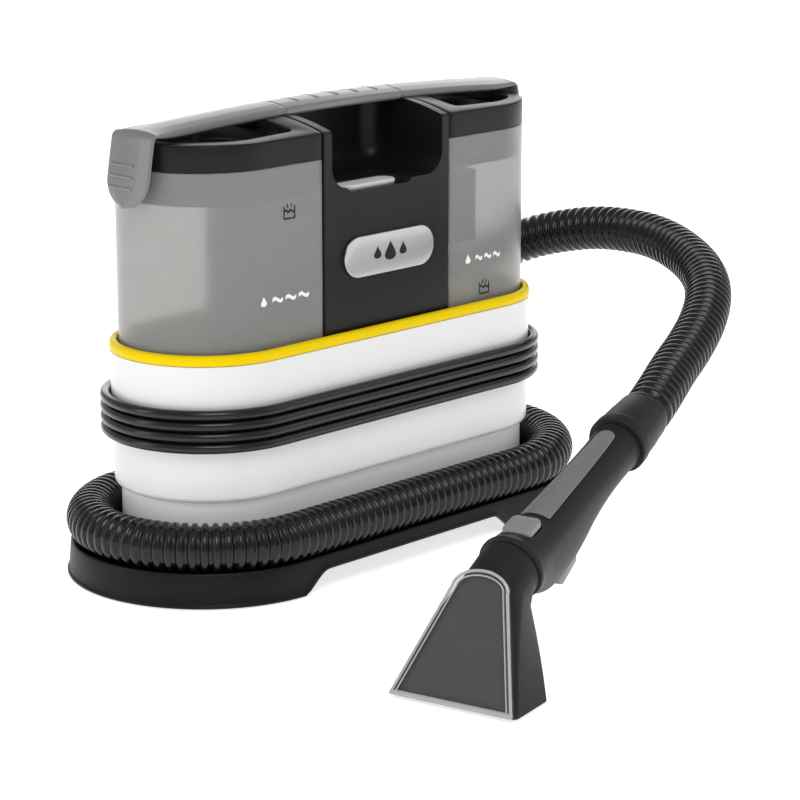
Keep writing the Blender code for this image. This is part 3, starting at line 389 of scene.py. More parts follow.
def look(name, colour, rough, metal=0.0, coat=0.0, grain=(1500.0, 0.0), mottle=(60.0, 0.0),
         rough_vary=0.0, alpha=1.0, transmission=0.0, ior=1.5, brushed=0.0, specular=0.5,
         edge_wear_and_highlight=0.0):
    """Moulded or metal surface. grain is (scale, bump distance in mm), mottle is (scale, share of
    colour change), rough_vary changes the roughness in patches, brushed stretches the grain
    along X, and the last argument lightens the edges: partly edge wear, partly a painted edge
    highlight."""
    if name in LOOKS:
        return LOOKS[name]
    made = bpy.data.materials.new(name)
    made.use_nodes = True
    nodes, links = made.node_tree.nodes, made.node_tree.links
    shader = nodes["Principled BSDF"]
    shader.inputs["Roughness"].default_value = rough
    shader.inputs["Metallic"].default_value = metal
    shader.inputs["Coat Weight"].default_value = coat
    shader.inputs["Coat Roughness"].default_value = 0.08
    shader.inputs["IOR"].default_value = ior
    shader.inputs["Alpha"].default_value = alpha
    shader.inputs["Transmission Weight"].default_value = transmission
    shader.inputs["Specular IOR Level"].default_value = specular
    place = nodes.new("ShaderNodeTexCoord")
    vector = place.outputs["Object"]
    if brushed:
        mapping = nodes.new("ShaderNodeMapping")
        mapping.inputs["Scale"].default_value = (brushed, 1.0, 1.0)
        links.new(vector, mapping.inputs["Vector"])
        vector = mapping.outputs["Vector"]

    base = nodes.new("ShaderNodeMix")
    base.data_type = "RGBA"
    change = mottle[1]
    base.inputs["A"].default_value = (*[c * (1 - change) for c in colour], 1.0)
    base.inputs["B"].default_value = (*[min(1.0, c * (1 + change)) for c in colour], 1.0)
    patches = nodes.new("ShaderNodeTexNoise")
    patches.inputs["Scale"].default_value = mottle[0]
    patches.inputs["Detail"].default_value = 4.0
    links.new(place.outputs["Object"], patches.inputs["Vector"])
    links.new(patches.outputs["Fac"], base.inputs["Factor"])
    result = base.outputs["Result"]
    # Painted edge highlight, partly edge wear: the more pointed (convex) an edge is, the lighter its base
    # colour.
    if edge_wear_and_highlight:
        wear_and_highlight_mask = nodes.new("ShaderNodeMapRange")
        wear_and_highlight_mask.inputs["From Min"].default_value = 0.53
        wear_and_highlight_mask.inputs["From Max"].default_value = 0.60
        wear_and_highlight_mask.inputs["To Max"].default_value = edge_wear_and_highlight
        spot = nodes.new("ShaderNodeNewGeometry")
        links.new(spot.outputs["Pointiness"], wear_and_highlight_mask.inputs["Value"])
        edge = nodes.new("ShaderNodeMix")
        edge.data_type = "RGBA"
        edge.inputs["B"].default_value = (*[min(1.0, c * 1.6 + 0.03) for c in colour], 1.0)
        links.new(result, edge.inputs["A"])
        links.new(wear_and_highlight_mask.outputs["Result"], edge.inputs["Factor"])
        result = edge.outputs["Result"]
    links.new(result, shader.inputs["Base Color"])

    if rough_vary:
        spread = nodes.new("ShaderNodeMapRange")
        spread.inputs["To Min"].default_value = max(0.02, rough - rough_vary)
        spread.inputs["To Max"].default_value = min(1.0, rough + rough_vary)
        cloud = nodes.new("ShaderNodeTexNoise")
        cloud.inputs["Scale"].default_value = 90.0
        cloud.inputs["Detail"].default_value = 3.0
        links.new(vector, cloud.inputs["Vector"])
        links.new(cloud.outputs["Fac"], spread.inputs["Value"])
        links.new(spread.outputs["Result"], shader.inputs["Roughness"])
    if grain[1]:
        fine = nodes.new("ShaderNodeTexNoise")
        fine.inputs["Scale"].default_value = grain[0]
        fine.inputs["Detail"].default_value = 2.0
        links.new(vector, fine.inputs["Vector"])
        bump = nodes.new("ShaderNodeBump")
        bump.inputs["Strength"].default_value = 1.0
        bump.inputs["Distance"].default_value = grain[1] * MM
        links.new(fine.outputs["Fac"], bump.inputs["Height"])
        links.new(bump.outputs["Normal"], shader.inputs["Normal"])
    LOOKS[name] = made
    return made


def all_looks():
    look("black_satin", (0.0080, 0.0080, 0.0083), 0.34, specular=0.19, grain=(1600.0, 0.010),
         mottle=(40.0, 0.08), rough_vary=0.04, edge_wear_and_highlight=0.25)
    look("tray_black", (0.0070, 0.0070, 0.0072), 0.42, specular=0.15, grain=(1300.0, 0.015),
         mottle=(30.0, 0.10), rough_vary=0.05, edge_wear_and_highlight=0.3)
    look("wand_black", (0.014, 0.014, 0.0132), 0.44, specular=0.17, grain=(1800.0, 0.010),
         mottle=(50.0, 0.06), rough_vary=0.05, edge_wear_and_highlight=0.2)
    look("hose_black", (0.0036, 0.0036, 0.0037), 0.22, specular=0.36, grain=(500.0, 0.008),
         mottle=(90.0, 0.12), rough_vary=0.07)
    look("cable_black", (0.004, 0.004, 0.0042), 0.22, specular=0.42, grain=(900.0, 0.005),
         mottle=(70.0, 0.10), rough_vary=0.05)
    look("white_gloss", (0.80, 0.80, 0.79), 0.24, specular=0.4, grain=(260.0, 0.003),
         mottle=(14.0, 0.010), rough_vary=0.03)
    look("off_white", (0.90, 0.90, 0.88), 0.38, specular=0.4, grain=(700.0, 0.006),
         mottle=(20.0, 0.02), rough_vary=0.04)
    look("yellow_plastic", (0.86, 0.62, 0.0), 0.34, specular=0.07, grain=(500.0, 0.003),
         mottle=(25.0, 0.02), rough_vary=0.04)
    look("grey_grip", (0.165, 0.165, 0.167), 0.32, specular=0.70, grain=(1700.0, 0.010),
         mottle=(45.0, 0.04), rough_vary=0.04, edge_wear_and_highlight=0.2)
    look("smoke_clear", (0.62, 0.62, 0.608), 0.27, transmission=0.74, ior=1.2,
         specular=0.9, mottle=(6.0, 0.02))
    look("window_clear", (0.14, 0.14, 0.14), 0.10, alpha=0.24, specular=0.35, mottle=(9.0, 0.04))
    look("clear_edge", (0.50, 0.50, 0.50), 0.10, alpha=0.80, specular=0.8, mottle=(20.0, 0.05))
    look("release_grey", (0.24, 0.24, 0.24), 0.36, specular=0.5, grain=(1700.0, 0.010), mottle=(45.0, 0.04))
    # Painted light: the power button's grey is far lighter than the grip's so that it reads lit where the
    # bar's shade falls on it.
    look("button_grey_painted_lit", (0.72, 0.72, 0.72), 0.36, specular=0.4, grain=(1700.0, 0.010), mottle=(45.0, 0.04))
    look("smoke_inner", (0.14, 0.14, 0.14), 0.30, alpha=0.80, mottle=(9.0, 0.08),
         rough_vary=0.03)
    look("clear_plastic", (0.95, 0.96, 0.96), 0.04, transmission=1.0, ior=1.49,
         mottle=(20.0, 0.01))
    look("channel_grey", (0.045, 0.045, 0.045), 0.30, specular=0.3, grain=(900.0, 0.006),
         mottle=(18.0, 0.10), rough_vary=0.05)
    look("brushed_metal", (0.50, 0.50, 0.49), 0.30, metal=1.0, grain=(420.0, 0.02), brushed=0.03,
         mottle=(30.0, 0.05), rough_vary=0.06)
    look("steel", (0.58, 0.58, 0.59), 0.28, metal=1.0, grain=(900.0, 0.004), mottle=(60.0, 0.05),
         rough_vary=0.08)
    look("rubber", (0.020, 0.020, 0.020), 0.70, specular=0.3, grain=(1100.0, 0.03),
         mottle=(70.0, 0.12), rough_vary=0.08)
    look("board_green", (0.02, 0.13, 0.05), 0.45, grain=(800.0, 0.01), mottle=(120.0, 0.25))
    look("motor_metal", (0.42, 0.43, 0.45), 0.40, metal=1.0, grain=(700.0, 0.01),
         mottle=(40.0, 0.10), rough_vary=0.08)
    look("seam_dark", (0.004, 0.004, 0.004), 0.8, specular=0.1, mottle=(80.0, 0.2))
    look("print_black", (0.010, 0.010, 0.010), 0.5, specular=0.2, mottle=(200.0, 0.1))
    look("print_white", (0.85, 0.85, 0.85), 0.5, mottle=(200.0, 0.04))
    look("print_grey", (0.30, 0.30, 0.30), 0.5, mottle=(200.0, 0.06))


CAD_LOOKS = {
    "black_plastic": "black_satin", "white_gloss": "white_gloss", "off_white": "off_white",
    "yellow_plastic": "yellow_plastic", "grey_grip": "grey_grip", "smoke_clear": "smoke_inner",
    "clear_plastic": "clear_plastic", "hose_black": "hose_black", "cable_black": "cable_black",
    "brushed_metal": "brushed_metal", "steel": "steel", "rubber": "rubber",
    "board_green": "board_green", "motor_metal": "motor_metal",
}


def dress_cad_nodes():
    """Every CAD node gets its slot's finish; the ones that are replaced later don't show."""
    for node, obj in frame["nodes"].items():
        finish = LOOKS[CAD_LOOKS[SLOT_OF[node]]]
        if not obj.material_slots:
            obj.data.materials.append(finish)
        for slot in obj.material_slots:
            slot.material = finish


# ---------------------------------------------------------------- camera and light
def make_camera():
    """Seen from the front left, a little above."""
    data = bpy.data.cameras.new("camera")
    data.lens = 122.3
    data.sensor_width = 36.0
    data.clip_end = 50.0
    camera = bpy.data.objects.new("camera", data)
    azimuth, elevation, distance = math.radians(-46.735), math.radians(14.248), 2048.16
    target = Vector((75.97, 0.0, 85.33))
    away = Vector((math.sin(azimuth) * math.cos(elevation), -math.cos(azimuth) * math.cos(elevation),
                   math.sin(elevation)))
    camera.location = (target + away * distance) * MM
    camera.rotation_euler = (-away).to_track_quat("-Z", "Y").to_euler()
    bpy.context.scene.collection.objects.link(camera)
    bpy.context.scene.camera = camera


def area_light(name, at, towards, size, power, colour=(1.0, 1.0, 1.0)):
    data = bpy.data.lights.new(name, "AREA")
    data.shape = "RECTANGLE"
    data.size, data.size_y = size
    data.energy = power
    data.color = colour
    lamp = bpy.data.objects.new(name, data)
    lamp.location = at
    lamp.rotation_euler = (Vector(towards) - Vector(at)).to_track_quat("-Z", "Y").to_euler()
    bpy.context.scene.collection.objects.link(lamp)


def make_studio():
    scene = bpy.context.scene
    scene.view_settings.view_transform = "Standard"
    world = bpy.data.worlds.new("studio")
    world.use_nodes = True
    world.node_tree.nodes["Background"].inputs["Color"].default_value = (1.0, 1.0, 1.0, 1.0)
    world.node_tree.nodes["Background"].inputs["Strength"].default_value = 0.52
    scene.world = world
    mid = (0.0, -0.05, 0.15)
    area_light("key", (-1.1, -1.4, 2.2), mid, (1.2, 1.2), 20.0)
    area_light("left", (-1.9, 0.9, 0.9), mid, (0.55, 1.5), 6.0)
    area_light("right", (1.35, -1.35, 0.9), mid, (1.7, 1.7), 5.5)
    area_light("back", (1.7, 1.6, 1.0), (0.0, 0.0, 0.3), (2.4, 1.3), 17.0)
    white = look("floor_white", (0.88, 0.88, 0.88), 0.7, specular=0.1, mottle=(3.0, 0.005))
    glow = white.node_tree.nodes["Principled BSDF"]
    glow.inputs["Emission Color"].default_value = (1.0, 1.0, 1.0, 1.0)
    glow.inputs["Emission Strength"].default_value = 0.72
    mesh = bpy.data.meshes.new("floor")
    far = 60.0
    mesh.from_pydata([(-far, -far, 0), (far, -far, 0), (far, far, 0), (-far, far, 0)], [], [(0, 1, 2, 3)])
    mesh.materials.append(white)
    floor = bpy.data.objects.new("floor", mesh)
    scene.collection.objects.link(floor)


# ---------------------------------------------------------------- cords
HOSE_REAR = [
    (-118.5, 85.0, HOSE_Z), (-78.0, 87.0, 46.0), (-36.0, 91.0, 62.0), (6.0, 96.0, 84.0),
    (50.0, 99.0, 106.0), (94.0, 100.0, 126.0), (138.0, 98.0, 141.0), (178.0, 89.0, 151.0),
    (215.0, 69.0, 162.0), (243.0, 43.0, 173.5), (258.5, 13.0, 185.5), (266.5, -30.0, 195.0),
    (267.5, -71.0, 197.0), (261.0, -102.0, 195.5), (249.0, -131.0, 191.5),
    (232.5, -158.0, 186.5), (214.0, -180.0, 180.5), (191.0, -199.0, 173.5),
    (162.0, -216.0, 164.5), (129.0, -230.5, 155.0), (93.0, -244.0, 146.0), (65.0, -255.5, 139.0),
]
HOSE_START = (34.0 + GAP, HOSE_HALF[1], HOSE_Z)
RIB_PITCH = 7.2
RIB_DEPTH = 2.3


def wand_frame():
    a = Vector((math.cos(WAND_SLOPE) * math.cos(WAND_TURN),
                math.cos(WAND_SLOPE) * math.sin(WAND_TURN), math.sin(WAND_SLOPE)))
    side = Vector((0, 0, 1)).cross(a).normalized()
    up = a.cross(side)
    return Matrix.Translation(WAND_AT) @ Matrix((a, side, up)).transposed().to_4x4()


WAND = wand_frame()


def hose_route():
    """Centre line of the hose from its outlet to the wand's cuff."""
    long, wide = HOSE_HALF
    mid = long - wide
    bulge = 5.0
    route = [HOSE_START, (80.0, wide, HOSE_Z)]
    for i in range(13):
        a = math.pi / 2 - math.pi * i / 12
        route.append((mid + (wide + bulge * math.cos(a)) * math.cos(a), wide * math.sin(a),
                      HOSE_Z + 0.5 * bulge * math.cos(a)))
    for x in (70.0, 20.0, -30.0, -75.0):
        route.append((x, -wide, HOSE_Z))
    for i in range(12):
        a = -math.pi / 2 - math.pi * i / 12
        route.append((-mid + wide * math.cos(a), wide * math.sin(a), HOSE_Z))
    ends = [tuple(WAND @ Vector((CUFF_X[1] + past, 0, 0))) for past in (12.0, GAP)]
    return route + HOSE_REAR + ends


def make_hose():
    """Corrugated hose: flat-topped ribs with narrow valleys."""
    per = 8
    path = smooth_route(hose_route(), RIB_PITCH / per)
    crest = HOSE_D / 2
    shape = (1.0, 1.0, 0.96, 0.30, 0.0, 0.0, 0.30, 0.96)
    radii = [crest - RIB_DEPTH * (1 - shape[i % per]) for i in range(len(path))]
    hose = make("suction_hose_ribbed", [skin(sweep(path, radii, 36))], LOOKS["hose_black"], sharp=60)
    line = [tuple(p * MM) for p in path[::per]]
    if (len(path) - 1) % per:
        line.append(tuple(path[-1] * MM))
    stand_for(hose, "suction_hose")


def cable_route():
    """Centre line of the mains cable: gland, four turns round the housing, plug."""
    long = (HOUSING[0] + HOUSING_FOOT[0]) / 2 + 0.9 + CABLE_D / 2
    wide = (HOUSING[1] + HOUSING_FOOT[1]) / 2 + 0.9 + CABLE_D / 2
    mid = long - wide
    run = HOUSING_FOOT[1] + 0.3 + GAP + 5.2
    rise = (COIL_Z[1] - COIL_Z[0] - CABLE_D) / (CABLE_TURNS - 1)
    level = COIL_Z[0] + CABLE_D / 2
    route = [(-52.0, run, 88.0), (-40.0, run, 88.0), (-27.6, run, 88.0), (-14.0, run, 88.4),
             (2.0, run, 91.4), (22.0, run, 97.2), (45.0, run - 0.4, 102.2), (70.0, wide + 0.4, 104.8),
             (95.0, wide, level)]
    for turn in range(CABLE_TURNS):
        for i in range(17):
            a = math.pi / 2 - math.pi * i / 16
            route.append((mid + wide * math.cos(a), wide * math.sin(a), level))
        for i in range(1, 8):
            route.append((mid - 2 * mid * i / 8, -wide, level))
        for i in range(17):
            a = -math.pi / 2 - math.pi * i / 16
            route.append((-mid + wide * math.cos(a), wide * math.sin(a), level))
        if turn < CABLE_TURNS - 1:
            for i in range(1, 8):
                t = i / 8
                route.append((-mid + 2 * mid * t, wide, level + rise * (3 * t * t - 2 * t ** 3)))
            level += rise
    top = COIL_Z[1] + GAP + CABLE_D / 2
    route += [(-95.0, wide + 0.3, level + 1.6), (-72.0, run - 0.3, level + 5.0), (-50.0, run, top),
              (-30.0, run, top + 0.8), (-8.0, run + 1.2, top + 6.85), (14.0, run + 2.6, top + 12.9),
              (33.6, run + 2.9, top + 13.7), (38.0, run + 2.9, top + 13.7)]
    return route


def make_cable():
    """One length of mains cable from its gland, with its plug and the plug's clip."""
    line = smooth_route(cable_route(), 5.0)
    curve = bpy.data.curves.new("mains_cable", "CURVE")
    curve.dimensions = "3D"
    curve.bevel_depth = CABLE_D / 2 * MM
    curve.bevel_resolution = 5
    curve.use_fill_caps = True
    spline = curve.splines.new("POLY")
    spline.points.add(len(line) - 1)
    for point, place in zip(spline.points, line):
        point.co = (*(place * MM), 1.0)
    cable = bpy.data.objects.new("mains_cable", curve)
    bpy.context.scene.collection.objects.link(cable)
    curve.materials.append(LOOKS["cable_black"])
    stand_for(cable, "cable_coil", "cable_lead", "cable_tail")
    plug = make_plug(line[-1].y, line[-1].z)


def make_plug(y, z):
    """Two-pin mains plug with a ribbed grip, parked in its clip on the housing."""
    stations = ((34.0, 4.7, 4.7), (36.0, 5.2, 5.2), (45.0, 5.4, 5.6), (50.0, 6.3, 8.6), (56.0, 6.5, 12.2),
                (64.0, 6.5, 14.8), (70.6, 6.5, 15.2), (72.0, 6.0, 14.6))
    rings = []
    for x, w, h in through(stations, 26):
        outline = rounded(w, h, min(w, h) * 0.8, steps=6)
        rings.append([(x, y + px, z + pz) for px, pz in outline])
    parts = [skin(rings)]
    for k in range(3):
        x = 37.5 + 3.2 * k
        parts.append(skin([disc(x + dx, r, (y, z), 24)
                           for dx, r in ((-0.9, 5.2), (-0.6, 6.0), (0.6, 6.0), (0.9, 5.2))]))
    plug = make("mains_plug_body", parts, LOOKS["cable_black"])
    stand_for(plug, "mains_plug")
    pins = []
    for dz in (-9.3, 9.3):
        pins.append(skin([disc(x, r, (y, z + dz), 20)
                          for x, r in ((71.0, 2.2), (88.6, 2.2), (89.6, 1.7), (90.0, 0.9))]))
    go_with(make("mains_plug_pins", pins, LOOKS["steel"]), "mains_plug")
    face = HOUSING[1] + GAP
    clip = make("plug_clip_body", [box_part((54, face, z - 16.6), (62, face + 12.0, z + 16.6))],
                LOOKS["black_satin"])
    cut(clip, [make("room", [box_part((50, face + 1.2, z - 14.9), (66, face + 20, z + 14.9))], None)],
        bevel=0.5)
    stand_for(clip, "plug_clip")
    return plug


def through(stations, count):
    """Rows of numbers interpolated smoothly through given rows."""
    rows = [stations[0]] + list(stations) + [stations[-1]]
    made = []
    for k in range(count + 1):
        at = k / count * (len(stations) - 1)
        i = min(int(at), len(stations) - 2)
        t = at - i
        p0, p1, p2, p3 = rows[i:i + 4]
        made.append(tuple(0.5 * (2 * b + (c - a) * t + (2 * a - 5 * b + 4 * c - d) * t * t
                                 + (3 * b - a - 3 * c + d) * t ** 3)
                          for a, b, c, d in zip(p0, p1, p2, p3)))
    return made


# ---------------------------------------------------------------- base
def arch(x):
    """How far the tray's long walls lift off the floor at x."""
    def ease(t):
        return 0.5 - 0.5 * math.cos(math.pi * min(1.0, max(0.0, t)))
    return ARCH_HEIGHT * (ease((x - ARCH_LEFT[0]) / (ARCH_LEFT[1] - ARCH_LEFT[0]))
                          * ease((ARCH_RIGHT[1] - x) / (ARCH_RIGHT[1] - ARCH_RIGHT[0])))


def tray_edge(x):
    return max(TRAY_LOW, arch(x))


def over_edge(up):
    return lambda x, y: tray_edge(x) + up


def wall_at(share):
    """Height on the tray's wall, as a share of the way from the bead to the lip."""
    return lambda x, y: (tray_edge(x) + 3.2) * (1 - share) + (TRAY_LIP - 1.4) * share


def make_tray():
    inner = TRAY_LEAN + 3.0
    low = [(inner + 2, 18.0), (inner - 0.3, 17.6), (3.3, over_edge(0.8)), (2.7, over_edge(0.0)),
           (0.0, over_edge(0.0)), (-0.7, over_edge(0.3)), (-1.0, over_edge(0.9)),
           (-1.0, over_edge(1.8)), (-0.7, over_edge(2.4)), (0.0, over_edge(2.8))]
    wall = [(0.2 + 1.7 * s, wall_at(s)) for s in (0.0, 0.33, 0.66, 1.0)]
    top = [(2.2, TRAY_LIP - 0.6), (2.7, TRAY_LIP - 0.1), (3.4, TRAY_LIP), (inner - 0.9, TRAY_LIP),
           (inner - 0.2, TRAY_LIP - 0.4), (inner, TRAY_LIP - 1.2), (inner + 0.6, TRAY_FLOOR + 0.7),
           (inner + 2.2, TRAY_FLOOR)]
    rings = rings_of(lambda inset: oval(TRAY, inset, 72, 112), low + wall + top)
    tray = make("base_tray_shell", [skin(rings)], LOOKS["tray_black"])
    stand_for(tray, "base_tray")


def oval_wall(foot, head, z0, z1, arc=72, straight=40):
    """Rings round the body between two sizes, for a profile of (inset, height) pairs."""
    def rings(profile):
        made = []
        for inset, z in profile:
            t = (z - z0) / (z1 - z0)
            half = [a + (b - a) * t for a, b in zip(foot, head)]
            made.append([(x, y, z) for x, y in oval(half, inset, arc, straight)])
        return made
    return rings


def make_housing():
    low, high = SKIRT_Z
    skirt = oval_wall(SKIRT, SKIRT, low, high)
    profile = fillet([(2.5, low), (0.0, low), (0.0, high), (2.5, high), (2.5, low)], (0, 0.8, 1.0, 0, 0))
    piece = make("base_skirt_shell", [skin(skirt(profile), closed=True)], LOOKS["off_white"])
    stand_for(piece, "base_skirt")

    low, high = HOUSING_Z
    walls = oval_wall(HOUSING_FOOT, HOUSING, low, high)
    profile = fillet([(8.0, low), (0.0, low), (0.0, 96.0), (0.0, high), (3.0, high), (3.0, low + 4),
                      (8.0, low + 2.5)], (0, 4.2, 0, 0.9, 0.5, 0, 0), steps=7)
    piece = make("main_housing_shell", [skin(walls(profile), closed=True)], LOOKS["white_gloss"])
    stand_for(piece, "main_housing")

    base = high + GAP
    rim = oval_wall(HOUSING, HOUSING, low, high)
    profile = fillet([(3.6, base), (0.0, base), (-0.35, base + 3.6), (0.6, RIM_TOP - 1.0), (2.8, RIM_TOP),
                      (5.0, RIM_TOP - 0.4), (5.4, RIM_TOP - 2.4), (5.4, high - 10.0), (3.6, high - 10.0)],
                     (0, 0.5, 3.0, 1.6, 1.8, 1.4, 0, 0.3, 0), steps=4)
    piece = make("rim_trim_ring", [skin(rim(profile), closed=True)], LOOKS["yellow_plastic"])
    stand_for(piece, "rim_trim")


# ---------------------------------------------------------------- column and lids
def crown(x, y):
    """Height of the lids' and the column's top."""
    across = max(0.0, 1 - (y / TANK_HALF) ** 2)
    along = min(1.0, max(0.0, (TANK_END - abs(x)) / (TANK_END - TANK_INNER)))
    return LID_EDGE + LID_CROWN * across * along


def under_crown(drop):
    return lambda x, y: crown(x, y) - drop


def round_bar(name, side, radius, front, back, steps=64):
    """Round cutting bar along Y about a lever's pivot."""
    rings = [[(side * PIVOT_X + radius * math.cos(2 * math.pi * i / steps), y,
               PIVOT_Z + radius * math.sin(2 * math.pi * i / steps)) for i in range(steps)]
             for y in (front, back)]
    return make(name, [skin(rings)], None)


def pill(name, half_x, half_y, radius, centre, levels):
    """Cutting tool with a rounded outline: levels are (inset, z)."""
    rings = []
    for inset, z in levels:
        outline = rounded(half_x - inset, half_y - inset, max(0.5, radius - inset), centre, steps=14)
        rings.append([(x, y, z) for x, y in outline])
    return make(name, [skin(rings)], None)


def air_port(name, x0, x1):
    """Tool for the round port between the column and the dirt tank."""
    return make(name, [skin([disc(x, PORT_RADIUS, (0.0, PORT_Z), 48) for x in (x0, x1)])], None)


def make_column():
    low = TANK_Z[0]
    ends = [(COLUMN_X, 1.0), (COLUMN_X - 0.3, 0.3), (COLUMN_X - 1.0, 0.0)]
    spread = ends + [(COLUMN_X - 1.0 - i * (2 * COLUMN_X - 2.0) / 6, 0.0) for i in range(1, 6)]
    spread += [(-x, inset) for x, inset in ends[::-1]]
    strips = []
    for x, inset in spread:
        half = TANK_HALF - inset
        top = [(-half, low), (-half, crown(x, half) - inset - 1.6),
               (-half + 0.35, crown(x, half) - inset - 0.6), (-half + 1.2, crown(x, half - 1.2) - inset)]
        count = 40
        for i in range(1, count):
            y = -half + 1.2 + 2 * (half - 1.2) * i / count
            top.append((y, crown(x, y) - inset))
        top += [(half - 1.2, crown(x, half - 1.2) - inset), (half - 0.35, crown(x, half) - inset - 0.6),
                (half, crown(x, half) - inset - 1.6), (half, low)]
        strips.append([(x, y, z) for y, z in top])
    column = make("column_shell_body", [skin(strips)], LOOKS["black_satin"])
    tools = [
        make("cavity", [box_part((-61.2, -57.7, low - 5), (61.2, 57.7, 250.0))], None),
        round_box("recess", (-RECESS_HALF, -140, RECESS_FLOOR), (RECESS_HALF, RECESS_BACK, 400),
                  RECESS_ROUND, 12),
        make("groove", [box_part((-80, BAR_FRONT - 1, BAR_BASE - 4 * GAP), (80, BAR_REAR + 1, 340))], None),
    ]
    for side in (-1, 1):
        tools.append(round_bar(f"pivot_{side + 1}", side, KNUCKLE + 0.7, BAR_FRONT - 1, BAR_REAR + 1))
    tools.append(pill("scoop", *SCOOP_HALF, 14.0, (BUTTON.x, BUTTON.y + SCOOP_SHIFT),
                      ((6.0, RECESS_FLOOR - 3.0), (4.4, RECESS_FLOOR - 2.8), (2.4, RECESS_FLOOR - 1.6),
                       (0.6, RECESS_FLOOR + 0.2), (0.0, RECESS_FLOOR + 4.0))))
    tools.append(pill("well", BUTTON_HALF[0] + 0.7, BUTTON_HALF[1] + 0.7, BUTTON_HALF[1] + 0.2,
                      (BUTTON.x, BUTTON.y), ((0, 256.0), (0, 290.0))))
    stem = [circle(4.5, z, (BUTTON.x, BUTTON.y), 24) for z in (240, 260)]
    tools.append(make("stem_hole", [skin(stem)], None))
    tools.append(air_port("port", 55.0, 70.0))
    cut(column, tools, bevel=0.7, sharp=14.0)
    stand_for(column, "column_shell")

    cap = []
    for inset, z in fillet([(2.4, 261.5), (2.0, 264.6), (0.3, 265.2), (0.0, 266.0), (0.0, BUTTON_TOP),
                            (7.6, BUTTON_TOP)], (0, 0, 0, 0, 1.8, 0), 6):
        cap.append([(x, y, z) for x, y in rounded(BUTTON_HALF[0] - inset, BUTTON_HALF[1] - inset,
                                                  BUTTON_HALF[1] - inset - 0.1, (BUTTON.x, BUTTON.y), 16)])
    # The cap's light grey is painted light, standing in for light where the bar shades it.
    button = make("power_button_cap", [skin(cap), skin([circle(3.5, z, (BUTTON.x, BUTTON.y), 24)
                                                        for z in (246, 262)])], LOOKS["button_grey_painted_lit"])
    stand_for(button, "power_button")


def drop_outline(x, z, wide, tall):
    outline = []
    for i in range(32):
        a = 2 * math.pi * i / 32
        outline.append((x + wide * math.sin(a) * (1 - math.cos(a)) * 0.62, z + tall * math.cos(a)))
    return outline


def make_badge():
    """Metal plate on the front, with three plain drops in place of a name."""
    low, high = span("badge_plate")
    mid = (low + high) / 2
    half = (high - low) / 2
    rings = []
    for inset, y in fillet([(0.0, high.y), (0.0, low.y), (8.0, low.y)], (0, 0.9, 0), 5):
        outline = rounded(half.x - inset, half.z - inset, half.z - inset - 0.1, steps=18)
        rings.append([(mid.x + x, y, mid.z + z) for x, z in outline])
    plate = make("badge_plate_body", [skin(rings)], LOOKS["brushed_metal"])
    stand_for(plate, "badge_plate")
    marks = []
    for at, size in ((-13.0, 4.6), (0.0, 7.0), (13.0, 4.6)):
        outline = drop_outline(mid.x + at, mid.z + 1.2, size, size)
        marks.append(skin([[(x, y, z) for x, z in outline] for y in (low.y + 0.3, low.y - 0.08)]))
    go_with(make("badge_drop_sign", marks, LOOKS["print_black"]), "badge_plate")


def make_lid(side, label):
    skirt = TANK_WALL + 2.8
    profile = [(skirt + 1.0, LID_SKIRT), (skirt + 0.2, LID_SKIRT + 0.4), (skirt, LID_SKIRT + 1.2),
               (skirt, LID_LOW), (0.5, LID_LOW), (0.0, LID_LOW + 0.5)]
    profile += [(0.0, lambda x, y, s=s: (LID_LOW + 0.5) * (1 - s) + (crown(x, y) - 1.8) * s)
                for s in (0.5, 1.0)]
    profile += [(0.15, under_crown(1.1)), (0.55, under_crown(0.5)), (1.1, under_crown(0.15)),
                (1.8, under_crown(0.0)), (4.5, under_crown(0.0)), (LID_RIM - 1.0, under_crown(0.0)),
                (LID_RIM - 0.4, under_crown(0.2)), (LID_RIM - 0.1, under_crown(0.7)),
                (LID_RIM, under_crown(1.8)), (LID_RIM + 0.3, under_crown(6.5)),
                (LID_RIM + 0.8, under_crown(7.1)), (LID_RIM + 3.0, under_crown(7.4)),
                (LID_RIM + 3.4, under_crown(8.0)), (LID_RIM + 3.8, under_crown(16.0)),
                (LID_RIM + 5.0, under_crown(17.0)), (LID_RIM + 6.2, 283.0),
                (LID_RIM + 7.0, LID_SKIRT + 9.0), (LID_RIM + 8.5, LID_SKIRT + 8.0)]
    rings = rings_of(lambda inset: d_shape(side, inset), profile)
    lid = make(f"{label}_lid_shell", [skin(rings)], LOOKS["black_satin"])
    inner, outer = sorted((side * 60.0, side * 90.0))
    tools = [make("lid_groove", [box_part((inner, BAR_FRONT - 1, BAR_BASE - 4 * GAP),
                                          (outer, BAR_REAR + 1, 340))], None),
             round_bar("lid_pocket", side, KNUCKLE + 0.7, BAR_FRONT - 1, BAR_REAR + 1)]
    cut(lid, tools, bevel=0.5)
    ear = [[(side * PIVOT_X + px, y, PIVOT_Z + pz) for px, pz in
            [(3.2, -18.0)] + [(3.2 * math.cos(math.pi * i / 16), 3.2 * math.sin(math.pi * i / 16))
                              for i in range(17)] + [(-3.2, -18.0)]] for y in (-3.5, 3.5)]
    post = make(f"{label}_lid_ear", [skin(ear)], LOOKS["black_satin"])
    cut(post, [round_bar("ear_bore", side, 1.9, -6, 6, 24)])
    stand_for(lid, f"{label}_lid")
    go_with(post, f"{label}_lid")


# ---------------------------------------------------------------- handle bar
def bar_top(x):
    return BAR_TOP - BAR_FALL_TOP * (x / BAR_END) ** 2


def bar_base(x):
    return BAR_BASE - BAR_FALL_BASE * (x / BAR_END) ** 2


def bar_width(x):
    spread = max(0.0, (abs(x) - 90.0) / (BAR_END - 90.0)) ** 2
    return (BAR_FRONT - (TAB_HALF + BAR_FRONT) * spread,
            BAR_REAR + (TAB_HALF - BAR_REAR) * spread)


